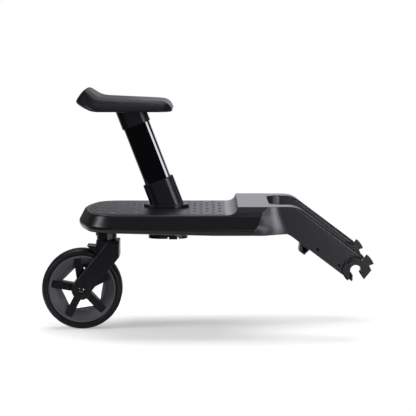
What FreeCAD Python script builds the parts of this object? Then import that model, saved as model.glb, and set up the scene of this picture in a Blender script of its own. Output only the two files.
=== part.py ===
import FreeCAD, Part
import math
import os

# Buggy board with a seat, in millimetres. X runs forward to the pushchair, Y to the left, Z up.
# The ground is at zero, and the origin lies below the middle of the board.

# Whole board and common fits
half_length = 305.5          # middle to the wheel's rear, and to the tips of the lock tabs
running_gap = 0.05           # radial clearance of a turning or pressed-in pin
loose_gap = 0.3              # clearance between pieces that slide or only lie together
overrun = 5.0                # how far a cut runs past the face that it opens
sharp_turn = 20.0            # degrees between faces past which an edge counts as sharp
edge_match = 0.001           # tolerance to which the edges of the deck's faces are matched

# Wheel
wheel_diameter = 150.5
tyre_width = 40.0
tyre_depth = 12.5
tyre_bead_width = 34.0
tyre_crown_width = 24.0
tyre_shoulder_drop = 5.0
tyre_round = 4.0
rim_lip = 3.0
rim_lip_inset = 2.0
rim_dish_width = 20.75        # rim's edge in to the inner edge of its dish
rim_web = 8.0
rim_opening_inset = 26.15    # rim's edge in to each straight side of the five-sided opening
spoke_count = 5
hexagon_sides = 6
spoke_turn = 26.5            # degrees of the first spoke above the forward line
spoke_width = 14.3
spoke_end_inset = 5.25
spoke_corner = 3.5
spoke_face = 14.5
spoke_edge = 1.2
hub_radius = 17.3
hub_length = 38.0
bearing_radius = 11.0
bearing_width = 7.0
axle_radius = 4.0
axle_head_radius = 6.5
axle_head_length = 4.0
axle_socket_radius = 2.9
axle_socket_depth = 3.0
axle_nut_width = 13.0
axle_nut_length = 6.0
sleeve_wall = 2.5

# Fork and swivel
trail = 46.0                 # swivel axis ahead of the axle
blade_inside = 22.5          # middle of the wheel to the inner face of each blade
blade_thickness = 10.5
blade_end_radius = 18.7
blade_front = 15.6           # front edge of the blade ahead of the line through the axle
blade_angle = 50.7           # degrees of the blade above the ground
blade_edge = 1.5
bolt_recess_radius = 7.5
crown_rear = 19.0
crown_front = 24.3
crown_rise = 16.5            # wheel's top up to the crown's top
crown_inset = 3.0            # crown's side inside the blade's outer face
crown_corner = 8.0
blade_top_drop = 3.5
arch_clearance = 5.0
guard_side_clearance = 1.2
guard_wall = 3.0
guard_tip_reach = 36.0       # swivel axis back to the tip of the guard
guard_tip_drop = 10.0
guard_root_drop = 11.5
guard_skirt_drop = 25.0
guard_skirt_setback = 14.0
kingpin_radius = 6.0
kingpin_depth = 20.0         # depth of the kingpin in the crown
washer_thickness = 1.5
washer_radius = 16.0
housing_radius = 18.6
housing_flange_radius = 33.0
housing_flange = 4.0
bush_wall = 3.0
bush_length = 14.0
clip_groove_depth = 1.0
clip_thickness = 1.5
clip_wall = 3.0
clip_opening = 60.0          # degrees left open in the clip
clip_pocket_radius = 12.0
kingpin_end_room = 4.0

# Wheel release button
release_pin_radius = 2.8
release_pin_rise = 10.0      # crown's top up to the button's middle
release_pin_proud = 2.0
release_flange_radius = 3.8
release_flange = 1.0
release_flange_seat = 13.3   # swivel axis to the step that holds the flange
release_bore_radius = 1.9
release_cap = 3.5
release_spring_radius = 1.3
release_spring_wire = 0.25
release_spring_turns = 5

# Deck
deck_rise = 60.0             # crown's top up to the deck's top
deck_setback = 81.5          # wheel's rear to the deck's upper rear edge
deck_half_width = 150.0
deck_flare = 13.0            # how far the skirt stands out at its foot, each side
deck_rear_flare = 20.0
deck_flare_depth = 38.0
deck_rear_bow = 420.0        # radius of the bowed rear edge
deck_corner = 46.0
deck_wall = 3.0
skirt_wall = 5.0
deck_edge = 5.0
skirt_foot_round = 10.0
skirt_rear_depth = 30.7      # deck's top down to the skirt's foot
skirt_front_depth = 39.5
tray_thickness = 3.0
tray_drop = 28.5
rib_thickness = 2.5
rib_pitch = 52.0
rib_clearance = 2.0          # ribs stop this far above the tray
boss_radius = 5.0
screw_radius = 1.8
screw_head_radius = 3.6
screw_head_length = 2.4
screw_grip = 9.0
tray_screw_inset = 12.0
housing_screw_circle = 27.0
housing_screw_count = 4
housing_screw_turn = 45.0    # degrees of the first housing screw from the forward line
tray_screw_shares = (0.0, 0.34, 0.67, 1.0)

# Raised front platform and arms
platform_rise = 14.0
platform_length = 72.5
ramp_length = 15.0
ramp_curve = 16.0
platform_front_share = 0.38134
platform_bevel = 10.0
platform_bevel_inset = 5.0
arm_inset = 8.0              # deck's side in to the arm's side
arm_width = 45.0
arm_overlap = 46.5           # how far the arm runs back under the platform
arm_drop_angle = 37.0
arm_root_length = 48.8       # platform's front to where the lines of the arm's top meet
arm_bend_round = 40.0
arm_depth = 48.5
arm_foot_drop = 35.0
arm_foot_round = 24.0
arm_edge = 3.0
arm_wall = 4.0
arm_root_round = 26.0
arm_rib_pitch = 22.0
arm_rib_count = 3
arm_rib_drop = 16.0          # arm's middle line down to the foot of its ribs
foot_rise_setback = 35.5     # platform's front back to where the skirt's foot starts to rise
scoop_top_setback = 12.5     # platform's front back to the ends of the edge where the skirt meets the scoop
scoop_foot_setback = 46.5
scoop_end_top = 15.5         # platform's front to where the scoop runs out on the arm
scoop_end_foot = 34.5
scoop_runout = 36.0
scoop_height_shares = (-0.15, 0.0, 0.1, 0.183, 0.305, 0.5, 0.71, 0.88, 1.0, 1.12)
scoop_reach_shares = (-0.4, 0.0, 0.265, 0.47, 0.676, 0.832, 0.944, 1.0, 1.0, 1.0)
lug_along = 3.5
lug_length = 21.0
lug_depth = 13.0
lug_wall = 3.0
lug_rear_lean = 7.0
lug_front_lean = 2.0

# Axle hooks and locks
throat_setback = 32.9        # lock tab's tip back to the throat's middle
throat_depth = 28.2          # throat's middle below the arm's top, square to it
throat_radius = 10.0
jaw_radius = 19.0
recess_radius = 23.5
recess_flare = 4.0
jaw_groove_depth = 6.0
jaw_fit = 0.15
mouth_left_angle = 238.0
mouth_right_angle = 322.0
mouth_flare_left = 254.0
mouth_flare_right = 312.0
lip_reach = 21.0
lip_wall = 2.0
lip_pocket_radius = 18.3
lip_pocket_angle = 200.0
lip_pocket_span = 33.0
lip_pocket_depth = 4.5
nose_reach = 28.3
nose_reach_angle = 0.5
nose_tip_reach = 22.0
nose_tip_angle = 313.0
nose_shoulder_reach = 26.0
nose_shoulder_angle = 25.0
lock_thickness = 8.0
lock_offset = 10.0           # lock's middle outside the arm's middle
lock_inner_gap = 0.8
lock_wall = 5.0
lock_tab_low = 19.0
lock_tab_high = 54.5
lock_ring_start = 340.0
lock_ring_span = 245.0
lock_turn = 88.0
lock_stop = 4.0              # degrees of room past the tab at each end of its slot
tongue_length = 96.0
tongue_drop = 24.0
tongue_rise = 20.0
hook_pin_radius = 2.5
hook_pin_drop = 11.0
hook_pin_places = (30.0, 79.0)
hook_pin_sinks = (0.3, 3.0)
end_cut_shares = (0.35, 0.7)

# Tread mat
mat_inset = 9.0
mat_sink = 1.2
mat_proud = 0.4
mat_front_gap = 8.0

# Seat socket, foot and post
socket_place_share = 0.2272
socket_length = 73.0
socket_width = 47.0
socket_wall = 3.5
socket_depth = 57.0
socket_floor = 6.2
socket_groove_depth = 3.2    # groove across the cup's foot for the release pad
socket_groove_gap = 2.4
socket_flange = 4.0
socket_flange_width = 9.0
socket_screw_reach = 33.0
plug_foot_gap = 4.0
plug_wall = 3.0
foot_flange_length = 84.0
foot_flange_width = 55.0
foot_flange_thickness = 6.5
foot_flange_edge = 2.5
foot_flange_shift = 3.0      # flange's middle behind the socket's
post_tilt = 21.1             # degrees that the post leans back
post_foot_shift = 0.9        # post's axis at the deck's top ahead of the socket's middle
post_length_side = 49.6
post_width = 35.0
post_corner = 11.0
post_wall = 2.5
post_bottom = 22.0           # along the post's axis, from the deck's top
post_top_setback = 16.8      # post's end below the seat's base, along the axis
foot_collar_wall = 4.5
foot_collar_top = 55.0
neck_wall = 2.4
neck_length = 33.8
insert_length = 24.0
insert_gap = 0.1
neck_screw_setback = 12.0
neck_screw_spread = 9.0

# Seat release button
seat_tab_shift = 9.6         # tab's middle ahead of the socket's
seat_tab_length = 15.6
seat_tab_width = 18.0
seat_tab_proud = 1.2
seat_press = 2.0             # travel of the release pad
seat_tab_flange = 2.0
seat_tab_lip = 2.5
bridge_height = 16.0
bridge_thickness = 3.0
bridge_width = 5.0
bridge_reach = 13.0
seat_spring_radius = 3.5
seat_spring_wire = 0.5
seat_spring_turns = 4

# Seat
seat_foot_rise = 182.5       # deck's top up to the seat's foot
seat_tip_back = 102.1        # places behind and ahead of the post's axis, and above the seat's foot
seat_tip_rise = 15.5
seat_ridge_back = 81.1
seat_ridge_rise = 41.5
seat_dip_back = 55.1
seat_dip_rise = 24.5
seat_front_top_ahead = 71.4
seat_front_rise = 19.0
seat_front_ahead = 81.5
seat_belly_back = 71.1
seat_half_width = 107.0
seat_side_lean = 15.0
seat_plan_corner = 52.0
seat_front_corner = 34.0
seat_ridge_round = 4.0
seat_tip_round = 3.0
seat_belly_round = 60.0
seat_dip_round = 32.0
seat_front_round = 17.0
seat_edge = 2.0
seat_wall = 7.0
seat_roof = 5.0
seat_base_thickness = 3.0
seat_base_sink = 3.0
seat_screw_spread_x = 44.0
seat_screw_spread_y = 66.0

# Places worked out from the sizes above
crown_top = wheel_diameter + crown_rise
deck_top = crown_top + deck_rise
deck_rear = half_length - deck_setback
skirt_rear_height = deck_top - skirt_rear_depth
skirt_front_height = deck_top - skirt_front_depth
tray_height = deck_top - tray_drop
platform_front = half_length * platform_front_share
ramp_foot = platform_front - platform_length
arm_outer = deck_half_width - arm_inset
arm_inner = arm_outer - arm_width
arm_start = platform_front - arm_overlap
arm_bend_x = platform_front + arm_root_length
arm_foot_height = deck_top - arm_foot_drop
arm_slope = math.tan(math.radians(arm_drop_angle))
throat_x = half_length - throat_setback
mat_front = ramp_foot - mat_front_gap
socket_x = -half_length * socket_place_share
socket_foot = deck_top - socket_depth
foot_flange_x = socket_x - foot_flange_shift
post_foot_x = socket_x + post_foot_shift
seat_tab_x = socket_x + seat_tab_shift
seat_foot_height = deck_top + seat_foot_rise
seat_x = post_foot_x - seat_foot_rise * math.tan(math.radians(post_tilt))
seat_base_reach = (seat_foot_rise + seat_base_sink) / math.cos(math.radians(post_tilt))
post_top = seat_base_reach - post_top_setback
neck_bottom = seat_base_reach - neck_length
seat_belly_x = seat_x - seat_belly_back
seat_front_top_x = seat_x + seat_front_top_ahead
seat_front_height = seat_foot_height + seat_front_rise
wheel_radius = wheel_diameter / 2
wheel_x = wheel_radius - half_length
wheel_z = wheel_radius
rim_radius = wheel_radius - tyre_depth
rim_dish_radius = rim_radius - rim_dish_width
rim_opening = rim_radius - rim_opening_inset
spoke_reach = rim_radius - spoke_end_inset
swivel_x = wheel_x + trail
blade_outside = blade_inside + blade_thickness
arch_radius = wheel_radius + arch_clearance
housing_foot = crown_top + washer_thickness + loose_gap
deck_ceiling = deck_top - deck_wall
bush_radius = kingpin_radius + running_gap + bush_wall
clip_height = deck_ceiling - kingpin_end_room - clip_thickness
platform_top = deck_top + platform_rise
scoop_front = platform_front + scoop_runout
throat_height = (platform_top - (throat_x - arm_bend_x) * arm_slope
                 - throat_depth / math.cos(math.radians(arm_drop_angle)))
platform_ceiling_start = ramp_foot + ramp_length + skirt_wall
tab_radius = (half_length - throat_x) / math.cos(math.radians(lock_tab_low))
arm_middle = (arm_inner + arm_outer) / 2
jaw_half_width = (arm_outer - arm_inner) / 2 - arm_wall - jaw_fit
socket_inner_length = socket_length - 2 * socket_wall
socket_inner_width = socket_width - 2 * socket_wall

up = FreeCAD.Vector(0, 0, 1)
left = FreeCAD.Vector(0, 1, 0)
forward = FreeCAD.Vector(1, 0, 0)


def at(x, y, z):
    return FreeCAD.Vector(x, y, z)


def arc_between(start, middle, finish):
    return Part.Arc(start, middle, finish).toShape()


def line_between(start, finish):
    return Part.LineSegment(start, finish).toShape()


def rounded_wire(points, radii):
    # Closed outline through the points, each corner rounded by its own radius.
    count = len(points)
    corners = []
    for index, corner in enumerate(points):
        before = (points[index - 1] - corner).normalize()
        after = (points[(index + 1) % count] - corner).normalize()
        radius = radii[index]
        if radius == 0:
            corners.append((corner, None, corner))
            continue
        half_angle = before.getAngle(after) / 2
        inward = (before + after).normalize()
        reach = radius / math.tan(half_angle)
        centre = corner + inward * (radius / math.sin(half_angle))
        corners.append((corner + before * reach, centre - inward * radius, corner + after * reach))
    edges = []
    for index in range(count):
        start, middle, finish = corners[index]
        if middle is not None:
            edges.append(arc_between(start, middle, finish))
        edges.append(line_between(finish, corners[(index + 1) % count][0]))
    return Part.Wire(edges)


def prism(wire, along):
    return Part.Face(wire).extrude(along)


def side_prism(points, radii, low, high):
    # Side view outline given as (x, z) pairs, spread from one Y to another.
    wire = rounded_wire([at(x, low, z) for x, z in points], radii)
    return prism(wire, at(0, high - low, 0))


def cylinder(radius, start, along, length):
    return Part.makeCylinder(radius, length, start, along)


def tube(outer, inner, start, along, length):
    return cylinder(outer, start, along, length).cut(cylinder(inner, start, along, length))


def box(low, high):
    size = high - low
    return Part.makeBox(size.x, size.y, size.z, low)


def fused(shapes):
    whole = shapes[0]
    if len(shapes) > 1:
        whole = shapes[0].multiFuse(shapes[1:])
    return whole.removeSplitter()


def without(shape, tools):
    return shape.cut(Part.makeCompound(tools)).removeSplitter()


def turned(x, z, radius, degrees):
    # Point at a radius and an angle from +X towards +Z around a cross axis.
    angle = math.radians(degrees)
    return x + radius * math.cos(angle), z + radius * math.sin(angle)


def edges_where(shape, test):
    return [edge for edge in shape.Edges if test(edge)]


def sharp_edges(shape, least_turn):
    # Edges where the two faces meet at more than the given angle in degrees.
    found = []
    for edge in shape.Edges:
        faces = shape.ancestorsOfType(edge, Part.Face)
        if len(faces) < 2:
            continue
        middle = edge.valueAt((edge.FirstParameter + edge.LastParameter) / 2)
        normals = []
        for face in faces[:2]:
            u, v = face.Surface.parameter(middle)
            normals.append(face.normalAt(u, v))
        if math.degrees(normals[0].getAngle(normals[1])) > least_turn:
            found.append(edge)
    return found


def oval_wire(length, width, x, z):
    # Flat-sided oval, long in X.
    radius = width / 2
    straight = length / 2 - radius
    rear = at(x - straight, 0, z)
    front = at(x + straight, 0, z)
    side = at(0, radius, 0)
    tip = at(radius, 0, 0)
    return Part.Wire([
        line_between(rear - side, front - side),
        arc_between(front - side, front + tip, front + side),
        line_between(front + side, rear + side),
        arc_between(rear + side, rear - tip, rear - side),
    ])


def oval_prism(length, width, x, low, high):
    return prism(oval_wire(length, width, x, low), up * (high - low))


def screw(tip, along, grip):
    # Pan head screw with its head below the start and its shank along the given way.
    shank = cylinder(screw_radius, tip, along, grip)
    head = cylinder(screw_head_radius, tip - along * screw_head_length, along, screw_head_length)
    return fused([shank, head])


def coil(radius, wire_radius, height, turns):
    # Round wire spring standing on the origin, made of tilted half rings.
    rise = (height - 2 * wire_radius) / (2 * turns)
    tilt = math.atan(rise / (2 * radius))
    halves = []
    for index in range(2 * turns):
        half = Part.makeTorus(radius / math.cos(tilt), wire_radius, at(0, 0, 0), up, 0, 360, 180)
        half.rotate(at(0, 0, 0), up, index * 180)
        half.rotate(at(0, 0, 0), left, math.degrees(tilt) * (-1) ** index)
        half.translate(at(0, 0, wire_radius + (index + 1 / 2) * rise))
        halves.append(half)
    return fused(halves)


# Wheel

def wheel_point(radius, y):
    return at(wheel_x, y, wheel_z + radius)


def wheel_turning(points, radii):
    # Ring turned about the axle from a section given as (radius, y) pairs.
    wire = rounded_wire([wheel_point(radius, y) for radius, y in points], radii)
    return Part.Face(wire).revolve(at(wheel_x, 0, wheel_z), left, 360)


def mirrored_section(half):
    return half + [(radius, -y) for radius, y in reversed(half)]


def make_tyre():
    shoulder = wheel_radius - tyre_shoulder_drop
    bead = rim_radius + (tyre_width - tyre_bead_width) / 2
    half = [
        (rim_radius, -tyre_bead_width / 2),
        (bead, -tyre_width / 2),
        (shoulder, -tyre_width / 2),
        (wheel_radius, -tyre_crown_width / 2),
    ]
    radii = [0, tyre_round / 2, tyre_round, tyre_round]
    return wheel_turning(mirrored_section(half), radii + radii[::-1])


def make_rim():
    lip_inner = rim_radius - rim_lip
    lip_face = tyre_bead_width / 2
    opening_corner = rim_opening / math.cos(math.pi / spoke_count)
    half = [
        (rim_radius, -lip_face),
        (lip_inner, -lip_face),
        (lip_inner, -lip_face + rim_lip_inset),
        (rim_dish_radius, -rim_web / 2),
        (rim_opening - overrun, -rim_web / 2),
    ]
    ring = wheel_turning(mirrored_section(half), [0] * (2 * len(half)))
    corners = []
    for index in range(spoke_count):
        x, z = turned(wheel_x, wheel_z, opening_corner, spoke_turn + index * 360 / spoke_count)
        corners.append(at(x, -tyre_width, z))
    opening = prism(Part.makePolygon(corners + corners[:1]), left * (2 * tyre_width))
    return ring.cut(opening)


def make_star(side, rim):
    # Spokes and half of the hub, laid into the dish of the rim from one side.
    spokes = []
    half = spoke_width / 2
    for index in range(spoke_count):
        flat = [(0, -half), (spoke_reach, -half), (spoke_reach, half), (0, half)]
        spoke = side_prism(flat, [0, spoke_corner, spoke_corner, 0], 0, spoke_face)
        spoke.rotate(at(0, 0, 0), left, -(spoke_turn + index * 360 / spoke_count))
        spokes.append(spoke)
    barrel = cylinder(hub_radius, at(0, 0, 0), left, hub_length / 2)
    star = fused(spokes + [barrel])
    outer = edges_where(star, lambda edge: all(
        abs(vertex.Y - spoke_face) < running_gap or abs(vertex.Y - hub_length / 2) < running_gap
        for vertex in edge.Vertexes))
    star = star.makeFillet(spoke_edge, outer)
    star = star.cut(cylinder(bearing_radius, at(0, hub_length / 2 - bearing_width, 0), left, bearing_width))
    star = star.cut(cylinder(bearing_radius - bush_wall, at(0, 0, 0), left, hub_length))
    if side < 0:
        star = star.mirror(at(0, 0, 0), left)
    star.translate(at(wheel_x, 0, wheel_z))
    return star.cut(rim)


def make_bearing(side):
    face = side * hub_length / 2
    start = at(wheel_x, face, wheel_z)
    return tube(bearing_radius, axle_radius + running_gap, start, left * -side, bearing_width)


def make_hub_sleeve():
    length = hub_length - 2 * bearing_width - 2 * loose_gap
    start = at(wheel_x, -length / 2, wheel_z)
    return tube(axle_radius + running_gap + sleeve_wall, axle_radius + running_gap, start, left, length)


def make_axle_spacers():
    near = hub_length / 2 + loose_gap
    length = blade_inside - near
    rings = []
    for side in (-1, 1):
        start = at(wheel_x, side * near, wheel_z)
        outer = axle_radius + running_gap + sleeve_wall
        rings.append(tube(outer, axle_radius + running_gap, start, left * side, length))
    return Part.makeCompound(rings)


def hexagon(corner, y):
    # Six-sided outline about the axle.
    corners = []
    for index in range(hexagon_sides + 1):
        x, z = turned(wheel_x, wheel_z, corner, index * 360 / hexagon_sides)
        corners.append(at(x, y, z))
    return Part.makePolygon(corners)


def make_axle_bolt():
    head_start = -blade_outside
    seat = head_start + axle_head_length
    shank = cylinder(axle_radius, at(wheel_x, seat, wheel_z), left, 2 * blade_outside - axle_head_length)
    head = cylinder(axle_head_radius, at(wheel_x, head_start, wheel_z), left, axle_head_length)
    head = head.makeFillet(screw_radius / 2, edges_where(head, lambda edge: all(
        abs(vertex.Y - head_start) < running_gap for vertex in edge.Vertexes)))
    socket = prism(hexagon(axle_socket_radius, head_start), left * axle_socket_depth)
    return fused([shank, head]).cut(socket)


def make_axle_nut():
    corner = axle_nut_width / 2 / math.cos(math.pi / hexagon_sides)
    start = blade_outside - axle_nut_length
    nut = prism(hexagon(corner, start), left * axle_nut_length)
    return nut.cut(cylinder(axle_radius + running_gap, at(wheel_x, start, wheel_z), left, axle_nut_length))


# Fork and swivel

def along_blade(reach, offset):
    # Point in side view at a reach up the blade and an offset towards its front.
    angle = math.radians(blade_angle)
    x = wheel_x + reach * math.cos(angle) + offset * math.sin(angle)
    z = wheel_z + reach * math.sin(angle) - offset * math.cos(angle)
    return x, z


def blade_front_places():
    # Lower and upper ends of the blade's front edge, which runs up to the front of the crown.
    front_x = swivel_x + crown_front
    foot_x, foot_z = along_blade(0, blade_front)
    return (foot_x, foot_z), (front_x, foot_z + (front_x - foot_x) * math.tan(math.radians(blade_angle)))


def make_blade(side):
    angle = math.radians(blade_angle)
    top = crown_top - blade_top_drop
    rear_foot_x, rear_foot_z = along_blade(0, -blade_end_radius)
    rear_top_x = rear_foot_x + (top - rear_foot_z) / math.tan(angle)
    front_foot, front_top = blade_front_places()
    points = [
        (rear_foot_x, rear_foot_z),
        (rear_top_x, top),
        (front_top[0], top),
        front_top,
        front_foot,
    ]
    start = blade_inside * side
    plate = side_prism(points, [0] * len(points), start, blade_outside * side)
    rounded_end = cylinder(blade_end_radius, at(wheel_x, start, wheel_z), left * side, blade_thickness)
    blade = fused([plate, rounded_end])
    rim_edges = edges_where(blade, lambda edge: all(
        abs(abs(vertex.Y) - blade_outside) < running_gap for vertex in edge.Vertexes))
    return blade.makeFillet(blade_edge, rim_edges)


def make_crown():
    half = blade_outside - crown_inset
    low = at(swivel_x - crown_rear, -half, wheel_z + wheel_radius / 2)
    high = at(swivel_x + crown_front, half, crown_top)
    block = box(low, high)
    corners = edges_where(block, lambda edge: abs(edge.tangentAt(edge.FirstParameter).z) > 1 - running_gap)
    rear = [edge for edge in corners if edge.Vertexes[0].X < swivel_x]
    block = block.makeFillet(crown_corner, rear)
    rim_edges = edges_where(block, lambda edge: all(
        abs(vertex.Z - crown_top) < running_gap for vertex in edge.Vertexes))
    block = block.makeFillet(blade_edge, rim_edges)
    front_foot, front_top = blade_front_places()
    below = [front_top, front_foot, (wheel_x, 0), (0, 0), (0, front_top[1])]
    return block.cut(side_prism(below, [0] * len(below), -half_length, half_length))


def make_guard():
    half = tyre_width / 2 + guard_side_clearance + guard_wall
    rear = swivel_x - crown_rear
    skirt = rear + guard_skirt_setback
    points = [
        (swivel_x - guard_tip_reach, crown_top - guard_tip_drop),
        (rear + crown_corner, crown_top - guard_root_drop),
        (skirt, crown_top - guard_root_drop),
        (skirt, crown_top - guard_skirt_drop - guard_skirt_setback),
        (rear, crown_top - guard_skirt_drop),
        (swivel_x - guard_tip_reach + guard_root_drop, crown_top - 2 * guard_tip_drop),
    ]
    return side_prism(points, [0, 0, 0, 0, guard_tip_drop, guard_root_drop], -half, half)


def make_fork():
    body = fused([make_blade(-1), make_blade(1), make_crown(), make_guard()])
    inside = tyre_width / 2 + guard_side_clearance
    wheel_room = cylinder(arch_radius, at(wheel_x, -inside, wheel_z), left, 2 * inside)
    blade_room = cylinder(wheel_radius - tyre_depth, at(wheel_x, -blade_inside, wheel_z), left, 2 * blade_inside)
    bolt_hole = cylinder(axle_radius + running_gap, at(wheel_x, -half_length, wheel_z), left, 2 * half_length)
    head_recess = cylinder(
        bolt_recess_radius, at(wheel_x, -blade_outside - overrun, wheel_z), left, axle_head_length + overrun)
    nut_seat = blade_outside - axle_nut_length
    nut_recess = cylinder(bolt_recess_radius, at(wheel_x, nut_seat, wheel_z), left, axle_nut_length + overrun)
    pin_hole = cylinder(kingpin_radius, at(swivel_x, 0, crown_top - kingpin_depth), up, kingpin_depth + overrun)
    return without(body, [wheel_room, blade_room, bolt_hole, head_recess, nut_recess, pin_hole])


def make_kingpin():
    foot = crown_top - kingpin_depth
    top = deck_ceiling - kingpin_end_room + clip_thickness
    pin = cylinder(kingpin_radius, at(swivel_x, 0, foot), up, top - foot)
    groove_core = kingpin_radius - clip_groove_depth
    groove = tube(kingpin_radius + overrun, groove_core, at(swivel_x, 0, clip_height), up, clip_thickness)
    pin = pin.makeChamfer(clip_groove_depth, edges_where(pin, lambda edge: all(
        abs(vertex.Z - top) < running_gap for vertex in edge.Vertexes)))
    return pin.cut(groove)


def make_kingpin_clip():
    inner = kingpin_radius - clip_groove_depth
    start = at(swivel_x, 0, clip_height)
    ring = tube(inner + clip_wall, inner, start, up, clip_thickness)
    gap = Part.makeCylinder(inner + clip_wall + overrun, clip_thickness, start, up, clip_opening)
    return ring.cut(gap)


def make_thrust_washer():
    inner = kingpin_radius + running_gap
    return tube(washer_radius, inner, at(swivel_x, 0, crown_top), up, washer_thickness)


def make_bush(foot):
    return tube(bush_radius, kingpin_radius + running_gap, at(swivel_x, 0, foot), up, bush_length)


def upper_bush_foot():
    return clip_height - loose_gap - bush_length


def make_housing():
    axis = at(swivel_x, 0, housing_foot)
    top = deck_ceiling - loose_gap
    body = cylinder(housing_radius, axis, up, top - housing_foot)
    flange_foot = tray_height + tray_thickness + loose_gap
    flange = cylinder(housing_flange_radius, at(swivel_x, 0, flange_foot), up, housing_flange)
    bore = cylinder(bush_radius, axis, up, top - housing_foot)
    pocket_foot = clip_height - loose_gap
    pocket = cylinder(clip_pocket_radius, at(swivel_x, 0, pocket_foot), up, top - pocket_foot)
    pin_height = crown_top + release_pin_rise
    pin_hole = cylinder(release_pin_radius + running_gap, at(swivel_x, 0, pin_height), -forward, housing_radius * 2)
    flange_hole = cylinder(
        release_flange_radius + running_gap, at(swivel_x, 0, pin_height), -forward, release_flange_seat)
    holes = [bore, pocket, pin_hole, flange_hole]
    for x, y in housing_screw_places():
        holes.append(cylinder(screw_radius + running_gap, at(x, y, flange_foot), up, housing_flange))
    return without(fused([body, flange]), holes)


def housing_screw_places():
    places = []
    for index in range(housing_screw_count):
        angle = math.radians(housing_screw_turn + index * 360 / housing_screw_count)
        places.append((swivel_x + housing_screw_circle * math.cos(angle), housing_screw_circle * math.sin(angle)))
    return places


def make_release_button():
    height = crown_top + release_pin_rise
    flange_face = release_flange_seat - loose_gap - release_flange
    outer_end = housing_radius + release_pin_proud
    pin = cylinder(release_pin_radius, at(swivel_x - flange_face, 0, height), -forward, outer_end - flange_face)
    flange = cylinder(release_flange_radius, at(swivel_x - flange_face, 0, height), -forward, release_flange)
    outer_x = swivel_x - outer_end
    pin = pin.makeFillet(release_pin_proud - loose_gap, edges_where(pin, lambda edge: all(
        abs(vertex.X - outer_x) < running_gap for vertex in edge.Vertexes)))
    bore_length = outer_end - release_cap - flange_face
    bore = cylinder(release_bore_radius, at(swivel_x - flange_face, 0, height), -forward, bore_length)
    return fused([pin, flange]).cut(bore)


def make_release_spring():
    inner_end = bush_radius + loose_gap
    outer_end = housing_radius + release_pin_proud - release_cap - loose_gap
    spring = coil(release_spring_radius, release_spring_wire, outer_end - inner_end, release_spring_turns)
    spring.rotate(at(0, 0, 0), left, -90)
    spring.translate(at(swivel_x - inner_end, 0, crown_top + release_pin_rise))
    return spring


# Deck shell

def deck_outline(z, grow, rear_grow, front_x):
    # Plan outline with a bowed rear edge, rounded rear corners and straight sides.
    width = deck_half_width + grow
    rear = -(deck_rear + rear_grow)
    corner = deck_corner + grow
    bow_x = rear + deck_rear_bow
    inner = deck_rear_bow - corner
    corner_x = bow_x - math.sqrt(inner ** 2 - (width - corner) ** 2)
    share = deck_rear_bow / inner
    join_x = bow_x + (corner_x - bow_x) * share
    join_y = (width - corner) * share
    angle = math.atan2(join_y, join_x - bow_x)
    lean = (angle + math.pi / 2) / 2
    mid_x = corner_x + corner * math.cos(lean)
    mid_y = width - corner + corner * math.sin(lean)
    return Part.Wire([
        line_between(at(front_x, -width, z), at(corner_x, -width, z)),
        arc_between(at(corner_x, -width, z), at(mid_x, -mid_y, z), at(join_x, -join_y, z)),
        arc_between(at(join_x, -join_y, z), at(rear, 0, z), at(join_x, join_y, z)),
        arc_between(at(join_x, join_y, z), at(mid_x, mid_y, z), at(corner_x, width, z)),
        line_between(at(corner_x, width, z), at(front_x, width, z)),
        line_between(at(front_x, width, z), at(front_x, -width, z)),
    ])


def deck_block():
    # Main deck: flared skirt, foot cut on a slight slope, rounded rims.
    foot = deck_top - deck_flare_depth
    top = deck_outline(deck_top, 0, 0, scoop_front)
    bottom = deck_outline(foot, deck_flare, deck_rear_flare, scoop_front)
    block = Part.makeLoft([bottom, top], True, True)
    rear = -half_length
    below = [
        (rear, skirt_rear_height),
        (platform_front - foot_rise_setback, skirt_front_height),
        (scoop_front + overrun, arm_foot_height),
        (scoop_front + overrun, foot - overrun),
        (rear, foot - overrun),
    ]
    reach = 2 * deck_half_width
    block = block.cut(side_prism(below, [0] * len(below), -reach, reach))
    front = scoop_front - running_gap

    def is_foot(edge):
        return all(vertex.Z < skirt_rear_height + running_gap for vertex in edge.Vertexes) and not all(
            vertex.X > front for vertex in edge.Vertexes)

    def is_rim(edge):
        return all(vertex.Z > deck_top - running_gap for vertex in edge.Vertexes) and not all(
            vertex.X > front for vertex in edge.Vertexes)

    block = block.makeFillet(skirt_foot_round, edges_where(block, is_foot))
    return block.makeFillet(deck_edge, edges_where(block, is_rim))


def platform_block():
    # Raised platform with a hollow ramp at its rear and slanted sides.
    low = deck_top - deck_edge - deck_wall
    width = deck_half_width
    ramp_top = ramp_foot + ramp_length
    points = [(ramp_foot, low), (ramp_foot, deck_top), (ramp_top, platform_top),
              (scoop_front, platform_top), (scoop_front, low)]
    block = side_prism(points, [0] * len(points), -width, width)
    chord = math.hypot(ramp_length, platform_rise)
    sag = math.sqrt(ramp_curve ** 2 - (chord / 2) ** 2)
    hollow_x = (ramp_foot + ramp_top) / 2 - sag * platform_rise / chord
    hollow_z = (deck_top + platform_top) / 2 + sag * ramp_length / chord
    hollow = cylinder(ramp_curve, at(hollow_x, -width, hollow_z), left, 2 * width)
    block = block.cut(hollow)
    for side in (-1, 1):
        slant = [at(ramp_foot - overrun, side * (width - platform_bevel_inset), platform_top),
                 at(ramp_foot - overrun, side * width, platform_top - platform_bevel),
                 at(ramp_foot - overrun, side * (width + overrun), platform_top - platform_bevel),
                 at(ramp_foot - overrun, side * (width + overrun), platform_top + overrun),
                 at(ramp_foot - overrun, side * (width - platform_bevel_inset), platform_top + overrun)]
        reach = scoop_front - ramp_foot + 2 * overrun
        block = block.cut(prism(Part.makePolygon(slant + slant[:1]), forward * reach))
    return block


def arm_axes():
    # Directions along the sloping stretch of the arm and square to its top.
    angle = math.radians(arm_drop_angle)
    along = (math.cos(angle), -math.sin(angle))
    square = (math.sin(angle), math.cos(angle))
    return along, square


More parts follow.
